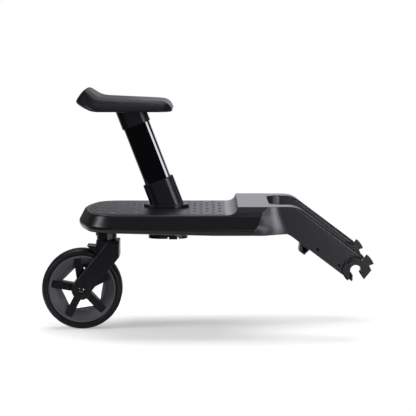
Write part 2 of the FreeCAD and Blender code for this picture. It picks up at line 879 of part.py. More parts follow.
def arm_place(along_reach, square_reach):
    # Side view point measured from the throat, along the arm and square to its top.
    along, square = arm_axes()
    x = throat_x + along_reach * along[0] + square_reach * square[0]
    z = throat_height + along_reach * along[1] + square_reach * square[1]
    return x, z


def arm_outline(top_drop, foot_drop):
    # Side view of an arm, its top lowered and its foot lowered by the given amounts.
    along, square = arm_axes()
    top = platform_top - top_drop
    bend_x = arm_bend_x - top_drop * math.tan(math.radians(arm_drop_angle) / 2)
    reach = (half_length - bend_x) / along[0]
    end_top = (bend_x + reach * along[0], top + reach * along[1])
    depth = arm_depth - top_drop + foot_drop
    end_foot = (end_top[0] - depth * square[0], end_top[1] - depth * square[1])
    foot = arm_foot_height - foot_drop
    foot_x = end_foot[0] - (foot - end_foot[1]) / arm_slope
    points = [(arm_start, top), (bend_x, top), end_top, end_foot, (foot_x, foot), (arm_start, foot)]
    radii = [0, arm_bend_round - top_drop, 0, 0, arm_foot_round, 0]
    return points, radii


def arm_block(side):
    points, radii = arm_outline(0, 0)
    arm = side_prism(points, radii, side * arm_inner, side * arm_outer)
    top_edges = edges_where(arm, lambda edge: abs(edge.tangentAt(edge.FirstParameter).y) < running_gap and all(
        vertex.X > platform_front - arm_start and vertex.Z > arm_line(vertex.X) for vertex in edge.Vertexes))
    return arm.makeFillet(arm_edge, top_edges)


def arm_line(x):
    # Height of a line that runs between the top and the foot of the arm.
    bend = platform_top - arm_depth / 2
    return min(bend, bend - (x - arm_bend_x) * arm_slope)


def arm_end_cut(side):
    # Room for the jaw: a round scoop about the throat and everything ahead of the arm's end face.
    start = at(throat_x, side * (arm_inner - overrun), throat_height)
    width = arm_outer - arm_inner + 2 * overrun
    scoop = cylinder(recess_radius, start, left * side, width)
    end_angle = lock_tab_high + lock_stop
    reach = half_length - throat_x + recess_radius
    foot_angle = -90 - arm_drop_angle
    corners = [(throat_x, throat_height), turned(throat_x, throat_height, reach, end_angle)]
    for share in end_cut_shares:
        angle = end_angle + (foot_angle - end_angle) * share
        corners.append(turned(throat_x, throat_height, 2 * reach, angle))
    corners.append(turned(throat_x, throat_height, reach, foot_angle))
    ahead = side_prism(corners, [0] * len(corners), side * (arm_inner - overrun), side * (arm_outer + overrun))
    flares = []
    for y, way in ((side * arm_outer, -side), (side * arm_inner, side)):
        centre = at(throat_x, y, throat_height)
        flares.append(Part.makeCone(recess_radius + recess_flare, recess_radius, recess_flare, centre, left * way))
    return fused([scoop, ahead] + flares)


def arm_hollow(side):
    # Channel open to below, from the end of the deck to the jaw.
    points, radii = arm_outline(arm_wall, arm_depth)
    start_x = platform_front + arm_root_round
    points[0] = (start_x, points[0][1])
    points[-1] = (start_x, points[-1][1])
    radii = [0, radii[1], 0, 0, 0, 0]
    return side_prism(points, radii, side * (arm_inner + arm_wall), side * (arm_outer - arm_wall))


def arm_ribs(side):
    ribs = []
    low = side * (arm_inner + arm_wall / 2)
    high = side * (arm_outer - arm_wall / 2)
    for index in range(arm_rib_count):
        reach = -(tongue_length + rib_thickness + loose_gap + index * arm_rib_pitch)
        top = arm_depth / 2 - arm_wall / 2
        points = [arm_place(reach, top), arm_place(reach - rib_thickness, top),
                  arm_place(reach - rib_thickness, -arm_rib_drop), arm_place(reach, -arm_rib_drop)]
        ribs.append(side_prism(points, [0] * len(points), low, high))
    points, radii = arm_outline(arm_wall / 2, 0)
    inside = side_prism(points, radii, low, high)
    return [rib.common(inside) for rib in ribs]


def arm_lug(side):
    # Hollow wedge-shaped lug below the arm, open on its outer side.
    along, square = arm_axes()
    points, radii = arm_outline(0, 0)
    corner = points[4]

    def place(reach, drop):
        return (corner[0] + reach * along[0] - drop * square[0], corner[1] + reach * along[1] - drop * square[1])

    def wedge(inset):
        start = arm_foot_round + lug_along + inset
        finish = arm_foot_round + lug_along + lug_length - inset
        return [place(start, inset / 2), place(start + lug_rear_lean, lug_depth - inset),
                place(finish - lug_front_lean, lug_depth - inset), place(finish, inset / 2)]

    body = side_prism(wedge(0), [0] * 4, side * (arm_inner + arm_wall / 2), side * arm_outer)
    pocket = side_prism(wedge(lug_wall), [0] * 4, side * arm_middle, side * (arm_outer + overrun))
    return body.cut(pocket)


def skirt_reach(z):
    # Half width of the deck's side at a height.
    return deck_half_width + deck_flare * max(0, deck_top - z) / deck_flare_depth


def scoop_section(side, height_share, reach_share):
    # Plan of the scoop's cutter at one height: an arc that leaves the arm's side smoothly and meets the skirt.
    z = skirt_front_height + (platform_top - skirt_front_height) * height_share
    crease_x = platform_front - scoop_foot_setback + (scoop_foot_setback - scoop_top_setback) * reach_share
    end_x = platform_front + scoop_end_foot + (scoop_end_top - scoop_end_foot) * height_share
    skirt = skirt_reach(z)
    far = deck_half_width + deck_flare + 2 * overrun
    width = end_x - crease_x
    depth = skirt - arm_outer
    radius = (width ** 2 + depth ** 2) / (2 * depth)
    angle = math.asin(width / radius)
    middle_x = end_x - radius * math.sin(angle / 2)
    middle_y = arm_outer + radius * (1 - math.cos(angle / 2))
    out_x = crease_x - (far - skirt) / math.tan(angle)
    front = scoop_front + overrun
    start = at(end_x, side * arm_outer, z)
    crease = at(crease_x, side * skirt, z)
    corners = [crease, at(out_x, side * far, z), at(front, side * far, z), at(front, side * arm_outer, z), start]
    edges = [arc_between(start, at(middle_x, side * middle_y, z), crease)]
    for index in range(len(corners) - 1):
        edges.append(line_between(corners[index], corners[index + 1]))
    return Part.Wire(edges)


def scoop_cut(side):
    # Hollow sweep that carries the flared skirt in to the side of the arm along an S-shaped edge.
    shares = zip(scoop_height_shares, scoop_reach_shares)
    wires = [scoop_section(side, height_share, reach_share) for height_share, reach_share in shares]
    return Part.makeLoft(wires, True, False)


def arm_gap_cut():
    # Clears the deck and the platform from between the arms, ahead of the platform's front.
    width = arm_outer - arm_wall
    return box(at(platform_front, -width, 0), at(half_length, width, 2 * platform_top))


def root_fillet(side):
    # Rounded inner corner between the platform's front edge and the arm.
    radius = arm_root_round
    corner = box(at(platform_front - overrun, 0, skirt_front_height),
                 at(platform_front + radius, radius, platform_top))
    corner.translate(at(0, arm_inner - radius, 0))
    scoop = cylinder(radius, at(platform_front + radius, arm_inner - radius, skirt_front_height - overrun), up,
                     platform_top - skirt_front_height + 2 * overrun)
    corner = corner.cut(scoop)
    return corner if side > 0 else corner.mirror(at(0, 0, 0), left)


def deck_room(low, high, gap):
    # Room between the skirts, drawn in at the front where the skirts step in to the arms.
    front = platform_front - skirt_wall - gap
    inset = skirt_wall + gap
    room = prism(deck_outline(low, -inset, -inset, front), up * (high - low))
    narrow = arm_outer - inset
    start = platform_front - foot_rise_setback - 2 * inset
    sides = [box(at(start, narrow, low), at(half_length, half_length, high)),
             box(at(start, -half_length, low), at(half_length, -narrow, high))]
    return room.cut(Part.makeCompound(sides))


def platform_room(inset):
    # Room under the raised platform, above the deck's own ceiling.
    wide = arm_outer - skirt_wall - platform_bevel_inset + inset
    return box(at(platform_ceiling_start - inset, -wide, deck_ceiling - overrun),
               at(platform_front - skirt_wall + inset, wide, platform_top - deck_wall + inset))


def deck_hollow():
    return fused([deck_room(skirt_front_height - overrun, deck_ceiling, 0), platform_room(0)])


def deck_ribs():
    # Lattice of stiffening ribs under the deck's top.
    low = tray_height + tray_thickness + rib_clearance
    front = platform_front
    rear = -deck_rear
    width = deck_half_width
    ribs = []
    across = int((front - rear) // rib_pitch)
    for index in range(1, across + 1):
        x = rear + index * rib_pitch
        ribs.append(box(at(x, -width, low), at(x + rib_thickness, width, platform_top)))
    along_count = int(width // rib_pitch)
    for index in range(-along_count, along_count + 1):
        y = index * rib_pitch - rib_thickness / 2
        ribs.append(box(at(rear, y, low), at(front, y + rib_thickness, platform_top)))
    sink = deck_wall / 2
    inside = fused([deck_room(low, deck_ceiling + sink, -sink), platform_room(sink)])
    lattice = fused(ribs).common(inside)
    housing_room = cylinder(housing_flange_radius + rib_clearance, at(swivel_x, 0, low - overrun), up, deck_top)
    socket_room = oval_prism(socket_length + 2 * socket_flange_width + 2 * rib_clearance,
                             socket_width + 2 * socket_flange_width + 2 * rib_clearance,
                             socket_x, low - overrun, deck_top)
    return without(lattice, [housing_room, socket_room])


def tray_screw_places():
    # Tray screws in two rows along the sides.
    places = []
    width = deck_half_width - skirt_wall - tray_screw_inset
    rear = -(deck_rear - deck_corner)
    front = platform_front - skirt_wall - tray_screw_inset
    for share in tray_screw_shares:
        for side in (-1, 1):
            places.append((rear + (front - rear) * share, side * width))
    return places


def socket_screw_places():
    places = []
    across = socket_width / 2 + socket_flange_width / 2
    for end in (-1, 1):
        for side in (-1, 1):
            places.append((socket_x + end * (socket_screw_reach - across / 2), side * across))
    return places


def deck_bosses():
    # Screw bosses hanging from the ceiling, with pilot holes cut later.
    posts = []
    tray_top = tray_height + tray_thickness
    for x, y in tray_screw_places():
        ceiling = platform_top - deck_wall if x > platform_ceiling_start else deck_ceiling
        posts.append(cylinder(boss_radius, at(x, y, tray_top), up, ceiling + deck_wall / 2 - tray_top))
    flange_top = tray_top + loose_gap + housing_flange
    for x, y in housing_screw_places() + socket_screw_places():
        posts.append(cylinder(boss_radius, at(x, y, flange_top), up, deck_ceiling + deck_wall / 2 - flange_top))
    return posts


def all_screws():
    # Start points of the screws in the deck, with the face that each head bears on.
    flange_face = tray_height + tray_thickness + loose_gap
    return {
        "tray": [at(x, y, tray_height) for x, y in tray_screw_places()],
        "housing": [at(x, y, flange_face) for x, y in housing_screw_places()],
        "socket": [at(x, y, flange_face) for x, y in socket_screw_places()],
    }


def make_screws(kind):
    return Part.makeCompound([screw(start, up, screw_grip) for start in all_screws()[kind]])


def make_deck_shell():
    solids = [deck_block(), platform_block()]
    body = fused(solids)
    body = body.cut(arm_gap_cut()).cut(scoop_cut(-1)).cut(scoop_cut(1))
    body = fused([body, root_fillet(-1), root_fillet(1), arm_block(-1), arm_block(1)])
    body = body.cut(deck_hollow())
    cuts = []
    for side in (-1, 1):
        cuts.append(arm_end_cut(side))
        cuts.append(arm_hollow(side))
    body = without(body, cuts)
    inner = [deck_ribs()] + deck_bosses()
    for side in (-1, 1):
        inner += arm_ribs(side) + [arm_lug(side)]
    body = fused([body] + inner)
    holes = [oval_prism(socket_length + 2 * loose_gap, socket_width + 2 * loose_gap, socket_x,
                        deck_ceiling - overrun, deck_top + overrun),
             mat_room()]
    for starts in all_screws().values():
        for start in starts:
            holes.append(cylinder(screw_radius, start, up, screw_grip + loose_gap))
    for side in (-1, 1):
        holes += hook_pin_cylinders(side, [0] * len(hook_pin_places))
    shell = without(body, holes)
    shell.fix(edge_match, edge_match, edge_match)
    return shell


def make_tray():
    # Flat plate that closes the deck from below, with clearance to the skirt.
    plate = deck_room(tray_height, tray_height + tray_thickness, loose_gap)
    low = tray_height - overrun
    holes = [cylinder(housing_radius + loose_gap, at(swivel_x, 0, low), up, tray_thickness + 2 * overrun),
             oval_prism(socket_length + 2 * loose_gap, socket_width + 2 * loose_gap, socket_x,
                        low, tray_height + tray_thickness + overrun)]
    for x, y in tray_screw_places():
        holes.append(cylinder(screw_radius + running_gap, at(x, y, low), up, tray_thickness + 2 * overrun))
    for x, y in housing_screw_places() + socket_screw_places():
        holes.append(cylinder(screw_head_radius + loose_gap, at(x, y, low), up, tray_thickness + 2 * overrun))
    return without(plate, holes)


def mat_wire(z, inset):
    return deck_outline(z, -mat_inset - inset, -mat_inset - inset, mat_front - inset)


def mat_room():
    return prism(mat_wire(deck_top - mat_sink, 0), up * (mat_sink + overrun))


def make_mat():
    low = deck_top - mat_sink
    plate = prism(mat_wire(low, running_gap), up * (mat_sink + mat_proud))
    opening = oval_prism(socket_length + 2 * loose_gap, socket_width + 2 * loose_gap, socket_x,
                         low - overrun, deck_top + overrun)
    return plate.cut(opening)


# Axle hooks and locks

def jaw_outline():
    # Side view of the jaw: ring, nose, lip and the tongue that runs into the arm.
    ring = cylinder(jaw_radius, at(throat_x, 0, throat_height), left, 2 * jaw_half_width)
    nose_points = [(throat_x, throat_height),
                   turned(throat_x, throat_height, jaw_radius, lock_tab_high),
                   turned(throat_x, throat_height, nose_shoulder_reach, nose_shoulder_angle),
                   turned(throat_x, throat_height, nose_reach, nose_reach_angle),
                   turned(throat_x, throat_height, nose_tip_reach, nose_tip_angle)]
    nose = side_prism(nose_points, [0] * len(nose_points), 0, 2 * jaw_half_width)
    lip_points = [(throat_x, throat_height), arm_place(-recess_radius, 0),
                  arm_place(-jaw_radius, -arm_depth / 2 + arm_wall),
                  turned(throat_x, throat_height, lip_reach, mouth_flare_left - arm_wall)]
    lip = side_prism(lip_points, [0] * len(lip_points), 0, 2 * jaw_half_width)
    return fused([ring, nose, lip])


def make_hook(side):
    whole = jaw_outline()
    tongue_points = [arm_place(0, tongue_rise - arm_wall), arm_place(-tongue_length, tongue_rise - arm_wall),
                     arm_place(-tongue_length, -tongue_drop + arm_wall), arm_place(0, -tongue_drop + arm_wall)]
    tongue = side_prism(tongue_points, [0, arm_wall, arm_wall, 0], 0, 2 * jaw_half_width)
    ring_zone = cylinder(recess_radius + loose_gap, at(throat_x, -overrun, throat_height), left,
                         2 * jaw_half_width + 2 * overrun)
    groove_zone = cylinder(recess_radius + loose_gap, at(throat_x, jaw_groove_depth, throat_height), left,
                           2 * (jaw_half_width - jaw_groove_depth))
    end_angle = lock_tab_high + lock_stop
    web = sector(0, recess_radius + loose_gap, end_angle, 360 - 90 - arm_drop_angle - end_angle,
                 jaw_groove_depth, 2 * jaw_half_width - jaw_groove_depth)
    tongue = fused([tongue.cut(ring_zone), tongue.common(groove_zone), web])
    body = fused([whole, tongue])
    reach = half_length - throat_x + recess_radius
    mouth_points = [(throat_x, throat_height),
                    turned(throat_x, throat_height, throat_radius, mouth_left_angle),
                    turned(throat_x, throat_height, lip_reach, mouth_flare_left),
                    turned(throat_x, throat_height, reach, mouth_flare_left),
                    turned(throat_x, throat_height, reach, mouth_flare_right),
                    turned(throat_x, throat_height, nose_tip_reach, mouth_flare_right),
                    turned(throat_x, throat_height, throat_radius, mouth_right_angle)]
    mouth = side_prism(mouth_points, [0] * len(mouth_points), -overrun, 2 * jaw_half_width + overrun)
    throat = cylinder(throat_radius, at(throat_x, -overrun, throat_height), left, 2 * jaw_half_width + 2 * overrun)
    outer_face = 2 * jaw_half_width
    lip_pocket = sector(throat_radius + lip_wall, lip_pocket_radius, lip_pocket_angle, lip_pocket_span,
                        outer_face - lip_pocket_depth, outer_face + overrun)
    body = without(body, [mouth, throat, lock_room(), lip_pocket])
    body.translate(at(0, -jaw_half_width, 0))
    if side < 0:
        body = body.mirror(at(0, 0, 0), left)
    body.translate(at(0, side * arm_middle, 0))
    return without(body, hook_pin_cylinders(side, [0] * len(hook_pin_places)))


def sector(inner, outer, start, span, low, high):
    # Part of a ring about the throat between two angles.
    ring = Part.makeCylinder(outer, high - low, at(0, 0, 0), up, span)
    if inner > 0:
        ring = ring.cut(cylinder(inner, at(0, 0, 0), up, high - low))
    ring.rotate(at(0, 0, 0), up, start)
    ring.rotate(at(0, 0, 0), forward, 90)
    ring.translate(at(throat_x, high, throat_height))
    return ring


def lock_room():
    # Slot in the jaw for the lock ring and for the sweep of its tab.
    slot = lock_thickness + 2 * loose_gap
    low = jaw_half_width + lock_offset - slot / 2
    ring_reach = throat_radius + lock_inner_gap + lock_wall + loose_gap
    ring_room = sector(0, ring_reach, 0, 360, low, low + slot)
    span = lock_tab_high - lock_tab_low + lock_turn + 2 * lock_stop
    tab_room = sector(0, tab_radius + overrun, lock_tab_low - lock_turn - lock_stop, span, low, low + slot)
    return fused([ring_room, tab_room])


def make_lock(side):
    inner = throat_radius + lock_inner_gap
    outer = inner + lock_wall
    half = lock_thickness / 2
    ring = sector(inner, outer, lock_ring_start, lock_ring_span, -half, half)
    tab = sector(inner + lock_wall / 2, tab_radius, lock_tab_low, lock_tab_high - lock_tab_low, -half, half)
    lock = fused([ring, tab])
    lock.translate(at(0, side * (arm_middle + lock_offset), 0))
    return lock


def hook_pin_cylinders(side, sinks):
    # Cross pins of one arm, their ends sunk below its sides by the given depths.
    pins = []
    for reach, sink in zip(hook_pin_places, sinks):
        x, z = arm_place(-reach, -hook_pin_drop)
        start = at(x, side * (arm_inner + sink), z)
        pins.append(cylinder(hook_pin_radius, start, left * side, arm_outer - arm_inner - 2 * sink))
    return pins


def make_hook_pins():
    return Part.makeCompound(hook_pin_cylinders(-1, hook_pin_sinks) + hook_pin_cylinders(1, hook_pin_sinks))


# Seat socket and release button

def make_socket():
    rim_top = deck_top
    cup = oval_prism(socket_length, socket_width, socket_x, socket_foot, rim_top)
    flange_foot = tray_height + tray_thickness + loose_gap
    flange = oval_prism(socket_length + 2 * socket_flange_width, socket_width + 2 * socket_flange_width, socket_x,
                        flange_foot, flange_foot + socket_flange)
    floor_top = socket_foot + socket_floor
    hollow = oval_prism(socket_inner_length, socket_inner_width, socket_x, floor_top, rim_top + overrun)
    cup = fused([cup, flange]).cut(hollow)
    half_length_tab = seat_tab_length / 2 + loose_gap
    half_width_tab = seat_tab_width / 2 + loose_gap
    slot = box(at(seat_tab_x - half_length_tab, -half_width_tab, socket_foot - overrun),
               at(seat_tab_x + half_length_tab, half_width_tab, floor_top + overrun))
    half_groove = seat_tab_length / 2 + socket_groove_gap
    groove = box(at(seat_tab_x - half_groove, -socket_width, socket_foot - overrun),
                 at(seat_tab_x + half_groove, socket_width, socket_foot + socket_groove_depth))
    cup = cup.cut(slot).cut(groove)
    holes = []
    for x, y in socket_screw_places():
        holes.append(cylinder(screw_radius + running_gap, at(x, y, flange_foot), up, socket_flange))
    cup = without(cup, holes)
    return fused([cup] + socket_bridge())


def socket_bridge():
    # Bridge over the release button that the spring pushes against.
    floor_top = socket_foot + socket_floor
    half = bridge_width / 2
    under = floor_top + bridge_height
    posts = []
    for side in (-1, 1):
        inner = side * bridge_reach
        outer = side * (bridge_reach + bridge_thickness)
        posts.append(box(at(seat_tab_x - half, min(inner, outer), floor_top - socket_floor / 2),
                         at(seat_tab_x + half, max(inner, outer), under + bridge_thickness)))
    bar = box(at(seat_tab_x - half, -bridge_reach, under), at(seat_tab_x + half, bridge_reach, under + bridge_thickness))
    return posts + [bar]


def make_seat_button():
    foot = socket_foot - seat_tab_proud
    flange_foot = socket_foot + socket_floor + loose_gap
    half = seat_tab_length / 2
    wide = seat_tab_width / 2
    pad_reach = socket_width / 2 - seat_tab_lip
    pad_top = socket_foot + socket_groove_depth - seat_press - loose_gap
    pad = box(at(seat_tab_x - half, -pad_reach, foot), at(seat_tab_x + half, pad_reach, pad_top))
    lower = edges_where(pad, lambda edge: all(abs(vertex.Z - foot) < running_gap for vertex in edge.Vertexes))
    pad = pad.makeFillet(seat_tab_proud / 2, lower)
    tab = box(at(seat_tab_x - half, -wide, (foot + pad_top) / 2), at(seat_tab_x + half, wide, flange_foot))
    flange = box(at(seat_tab_x - half - seat_tab_lip, -wide - seat_tab_lip, flange_foot),
                 at(seat_tab_x + half + seat_tab_lip, wide + seat_tab_lip, flange_foot + seat_tab_flange))
    return fused([pad, tab, flange])


def make_seat_spring():
    foot = socket_foot + socket_floor + loose_gap + seat_tab_flange
    top = socket_foot + socket_floor + bridge_height
    spring = coil(seat_spring_radius, seat_spring_wire, top - foot - loose_gap, seat_spring_turns)
    spring.translate(at(seat_tab_x, 0, foot + loose_gap / 2))
    return spring


# Seat post and collars

def post_way():
    angle = math.radians(post_tilt)
    return at(-math.sin(angle), 0, math.cos(angle))


def post_section(grow, reach):
    # Rounded section square to the post's axis, at a reach from the deck's top.
    way = post_way()
    across = at(way.z, 0, -way.x)
    centre = at(post_foot_x, 0, deck_top) + way * reach
    half = post_length_side / 2 + grow
    wide = post_width / 2 + grow
    corners = [centre + across * half + left * wide, centre - across * half + left * wide,
               centre - across * half - left * wide, centre + across * half - left * wide]
    return rounded_wire(corners, [post_corner + grow] * 4)


def post_prism(grow, start, finish):
    return prism(post_section(grow, start), post_way() * (finish - start))


def make_post():
    outer = post_prism(0, post_bottom, post_top)
    return outer.cut(post_prism(-post_wall, post_bottom, post_top))


def make_foot():
    # Lower collar, flange on the deck and the plug that goes down into the socket.
    flange_foot = deck_top + mat_proud + loose_gap
    flange_top = flange_foot + foot_flange_thickness
    collar = post_prism(foot_collar_wall, -post_length_side, foot_collar_top)
    rim_edges = edges_where(collar, lambda edge: all(
        abs((vertex.Point - at(post_foot_x, 0, deck_top)).dot(post_way()) - foot_collar_top) < running_gap
        for vertex in edge.Vertexes))
    collar = collar.makeFillet(neck_wall / 2, rim_edges)
    collar = collar.cut(box(at(-half_length, -half_length, 0), at(half_length, half_length, flange_foot)))
    flange = oval_prism(foot_flange_length, foot_flange_width, foot_flange_x, flange_foot, flange_top)
    flange = flange.makeFillet(foot_flange_edge, edges_where(flange, lambda edge: all(
        abs(vertex.Z - flange_top) < running_gap for vertex in edge.Vertexes)))
    plug_foot = socket_foot + socket_floor + plug_foot_gap
    plug_length = socket_inner_length - 2 * loose_gap
    plug_width = socket_inner_width - 2 * loose_gap
    plug = oval_prism(plug_length, plug_width, socket_x, plug_foot, flange_top)
    hollow_length = plug_length - 2 * plug_wall
    hollow = oval_prism(hollow_length, plug_width - 2 * plug_wall, socket_x, plug_foot, flange_foot - plug_wall)
    body = fused([collar, flange, plug]).cut(hollow)
    body = body.cut(post_prism(0, post_bottom, foot_collar_top + overrun))
    return fused([body, post_prism(-post_wall - insert_gap, post_bottom - plug_wall, post_bottom + insert_length)])


def make_neck():
    # Upper collar between the post and the seat's base.
    base_foot = seat_foot_height + seat_base_sink
    collar = post_prism(neck_wall, neck_bottom, post_top + post_length_side)
    rim_edges = edges_where(collar, lambda edge: all(
        abs((vertex.Point - at(post_foot_x, 0, deck_top)).dot(post_way()) - neck_bottom) < running_gap
        for vertex in edge.Vertexes))
    collar = collar.makeFillet(neck_wall / 2, rim_edges)
    collar = collar.cut(box(at(-half_length, -half_length, base_foot), at(half_length, half_length, 2 * base_foot)))
    collar = collar.cut(post_prism(0, neck_bottom - overrun, post_top))
    collar = fused([collar, post_prism(-post_wall - insert_gap, post_top - insert_length, post_top + neck_wall)])
    return without(collar, [cylinder(screw_radius, start, -up, screw_grip) for start in neck_screw_places()])


def neck_screw_places():
    # Screws through the seat's base into the thick rear of the neck.
    base_top = seat_foot_height + seat_base_sink + seat_base_thickness
    way = post_way()
    middle_x = post_foot_x + way.x / way.z * (base_top - deck_top) - neck_screw_setback
    return [at(middle_x, side * neck_screw_spread, base_top) for side in (-1, 1)]


def make_neck_screws():
    return Part.makeCompound([screw(start, -up, screw_grip) for start in neck_screw_places()])


# Seat

def seat_outer():
    # Side view of the seat, measured from the post's axis at the seat's foot.
    points = [(-seat_ridge_back, seat_ridge_rise), (-seat_tip_back, seat_tip_rise), (-seat_belly_back, 0),
              (seat_front_ahead, 0), (seat_front_top_ahead, seat_front_rise), (-seat_dip_back, seat_dip_rise)]
    radii = [seat_ridge_round, seat_tip_round, seat_belly_round, seat_tip_round, seat_front_round, seat_dip_round]
    wide = seat_half_width + overrun
    return side_prism(points, radii, -wide, wide)


def seat_plan(z, half_width, rear_x, front_x, rear_corner, front_corner):
    corners = [at(rear_x, -half_width, z), at(front_x, -half_width, z),
               at(front_x, half_width, z), at(rear_x, half_width, z)]
    return rounded_wire(corners, [rear_corner, front_corner, front_corner, rear_corner])


def seat_outline(z, half_width):
    return seat_plan(z, half_width, -seat_tip_back, seat_front_ahead, seat_plan_corner, seat_front_corner)


def seat_room(z, gap):
    # Plan of the hollow under the seat, drawn in by the gap for the plate that closes it.
    inset = seat_wall + gap
    width = seat_half_width - seat_side_lean - inset
    drawn_in = seat_side_lean + inset
    return seat_plan(z, width, seat_belly_x + inset, seat_front_top_x - inset,
                     seat_plan_corner - drawn_in, seat_front_corner - drawn_in)


def make_seat_shell():
    full_rise = seat_ridge_rise + overrun
    top_width = seat_half_width - seat_side_lean * full_rise / seat_front_rise
    lean = Part.makeLoft([seat_outline(0, seat_half_width), seat_outline(full_rise, top_width)], True, True)
    body = seat_outer().common(lean)
    body = body.makeFillet(seat_edge, sharp_edges(body, sharp_turn))
    body.translate(at(seat_x, 0, seat_foot_height))
    hollow_top = seat_front_height - seat_roof
    hollow = prism(seat_room(seat_foot_height - overrun, 0), up * (hollow_top - seat_foot_height + overrun))
    body = body.cut(hollow)
    base_top = seat_foot_height + seat_base_sink + seat_base_thickness
    posts = []
    holes = []
    for start in seat_screw_places():
        posts.append(cylinder(boss_radius, at(start.x, start.y, base_top), up, hollow_top - base_top + seat_roof / 2))
        holes.append(cylinder(screw_radius, start, up, screw_grip + loose_gap))
    return without(fused([body] + posts), holes)


def make_seat_screws():
    return Part.makeCompound([screw(start, up, screw_grip) for start in seat_screw_places()])


def make_seat_base():
    low = seat_foot_height + seat_base_sink
    plate = prism(seat_room(low, loose_gap), up * seat_base_thickness)
    holes = [cylinder(screw_radius + running_gap, start - up * overrun, up, seat_base_thickness + 2 * overrun)
             for start in seat_screw_places() + neck_screw_places()]
    return without(plate, holes)


def seat_screw_places():
    middle = (seat_belly_x + seat_front_top_x) / 2
    low = seat_foot_height + seat_base_sink
    places = []
    for end in (-1, 1):
        for side in (-1, 1):
            places.append(at(middle + end * seat_screw_spread_x, side * seat_screw_spread_y, low))
    return places


def make_all():
    rim = make_rim()
    pieces = {
        "deck_shell": make_deck_shell(),
        "deck_under_tray": make_tray(),
        "tread_mat": make_mat(),
        "tray_screws": make_screws("tray"),
        "housing_screws": make_screws("housing"),
        "socket_screws": make_screws("socket"),
        "swivel_housing": make_housing(),
        "swivel_bush_lower": make_bush(housing_foot),
        "swivel_bush_upper": make_bush(upper_bush_foot()),
        "wheel_release_button": make_release_button(),
        "wheel_release_spring": make_release_spring(),
        "fork": make_fork(),
        "kingpin": make_kingpin(),
        "kingpin_clip": make_kingpin_clip(),
        "thrust_washer": make_thrust_washer(),
        "axle_bolt": make_axle_bolt(),
        "axle_nut": make_axle_nut(),
        "axle_spacers": make_axle_spacers(),
        "hub_sleeve": make_hub_sleeve(),
        "tyre": make_tyre(),
        "wheel_rim": rim,
        "wheel_star_right": make_star(-1, rim),
        "wheel_star_left": make_star(1, rim),
        "wheel_bearing_right": make_bearing(-1),
        "wheel_bearing_left": make_bearing(1),
        "axle_hook_right": make_hook(-1),
        "axle_hook_left": make_hook(1),
        "hook_lock_right": make_lock(-1),
        "hook_lock_left": make_lock(1),
        "hook_pins": make_hook_pins(),
        "seat_socket": make_socket(),
        "seat_release_button": make_seat_button(),
        "seat_release_spring": make_seat_spring(),
        "seat_post": make_post(),
        "seat_foot": make_foot(),
        "seat_neck": make_neck(),
        "seat_shell": make_seat_shell(),
        "seat_base": make_seat_base(),
        "seat_screws": make_seat_screws(),
        "neck_screws": make_neck_screws(),
    }
    return pieces


os.makedirs("parts", exist_ok=True)
for name, shape in make_all().items():
    shape.exportStep("parts/" + name + ".step")
    print(name, len(shape.Solids), shape.isValid(), round(shape.Volume))
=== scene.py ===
import math
import bmesh
import bpy
from mathutils import Matrix, Vector


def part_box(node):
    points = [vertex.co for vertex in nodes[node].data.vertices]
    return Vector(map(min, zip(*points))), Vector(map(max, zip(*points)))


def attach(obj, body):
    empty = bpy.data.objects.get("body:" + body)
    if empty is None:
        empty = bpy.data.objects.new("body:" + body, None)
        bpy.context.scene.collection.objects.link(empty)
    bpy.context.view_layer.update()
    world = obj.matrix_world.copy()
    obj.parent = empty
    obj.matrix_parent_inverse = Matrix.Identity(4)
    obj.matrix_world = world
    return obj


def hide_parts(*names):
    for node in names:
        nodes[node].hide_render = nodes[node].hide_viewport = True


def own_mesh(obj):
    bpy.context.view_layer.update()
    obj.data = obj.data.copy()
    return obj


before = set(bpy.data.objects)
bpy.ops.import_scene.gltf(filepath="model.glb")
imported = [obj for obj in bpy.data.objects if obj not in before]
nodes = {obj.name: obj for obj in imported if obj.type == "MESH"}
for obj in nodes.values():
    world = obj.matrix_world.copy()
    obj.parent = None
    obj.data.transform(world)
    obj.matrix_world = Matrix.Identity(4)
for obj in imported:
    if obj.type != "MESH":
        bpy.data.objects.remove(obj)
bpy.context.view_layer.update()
scene = bpy.context.scene
print("frame loaded:", len(nodes), "nodes")


def mm(value):
    return value / 1000


def perMm(size):  # texture scale for a feature of this size in mm
    return 1000 / size


def linear(hexCode):  # sRGB hex to the linear colour that a socket takes
    channels = [int(hexCode[start:start + 2], 16) / 255 for start in (1, 3, 5)]
    return [c / 12.92 if c <= 0.04045 else ((c + 0.055) / 1.055) ** 2.4 for c in channels] + [1]


def middleOf(nodeName):
    low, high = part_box(nodeName)
    return (low + high) / 2


def addNode(tree, kind, settings, links=()):
    node = tree.nodes.new(kind)
    for key, value in settings.items():
        if key in node.inputs:
            node.inputs[key].default_value = value
        else:
            setattr(node, key, value)
    for key, source in links:
        tree.links.new(source, node.inputs[key])
    return node


def newMaterial(name):  # the material, its nodes and the object coordinates
    material = bpy.data.materials.new(name)
    material.use_nodes = True
    tree = material.node_tree
    tree.nodes.clear()
    place = addNode(tree, "ShaderNodeTexCoord", {})
    return material, tree, place.outputs["Object"]


# What all finishes share: roughness that varies, and where asked tone, rounded edges and relief
noiseSpan = (0.3, 0.7)  # nearly all values of a noise lie here
wholeSpan = (0.0, 1.0)
edgeSamples = 12
shaderSockets = {"ior": "IOR", "specular": "Specular IOR Level", "metallic": "Metallic"}


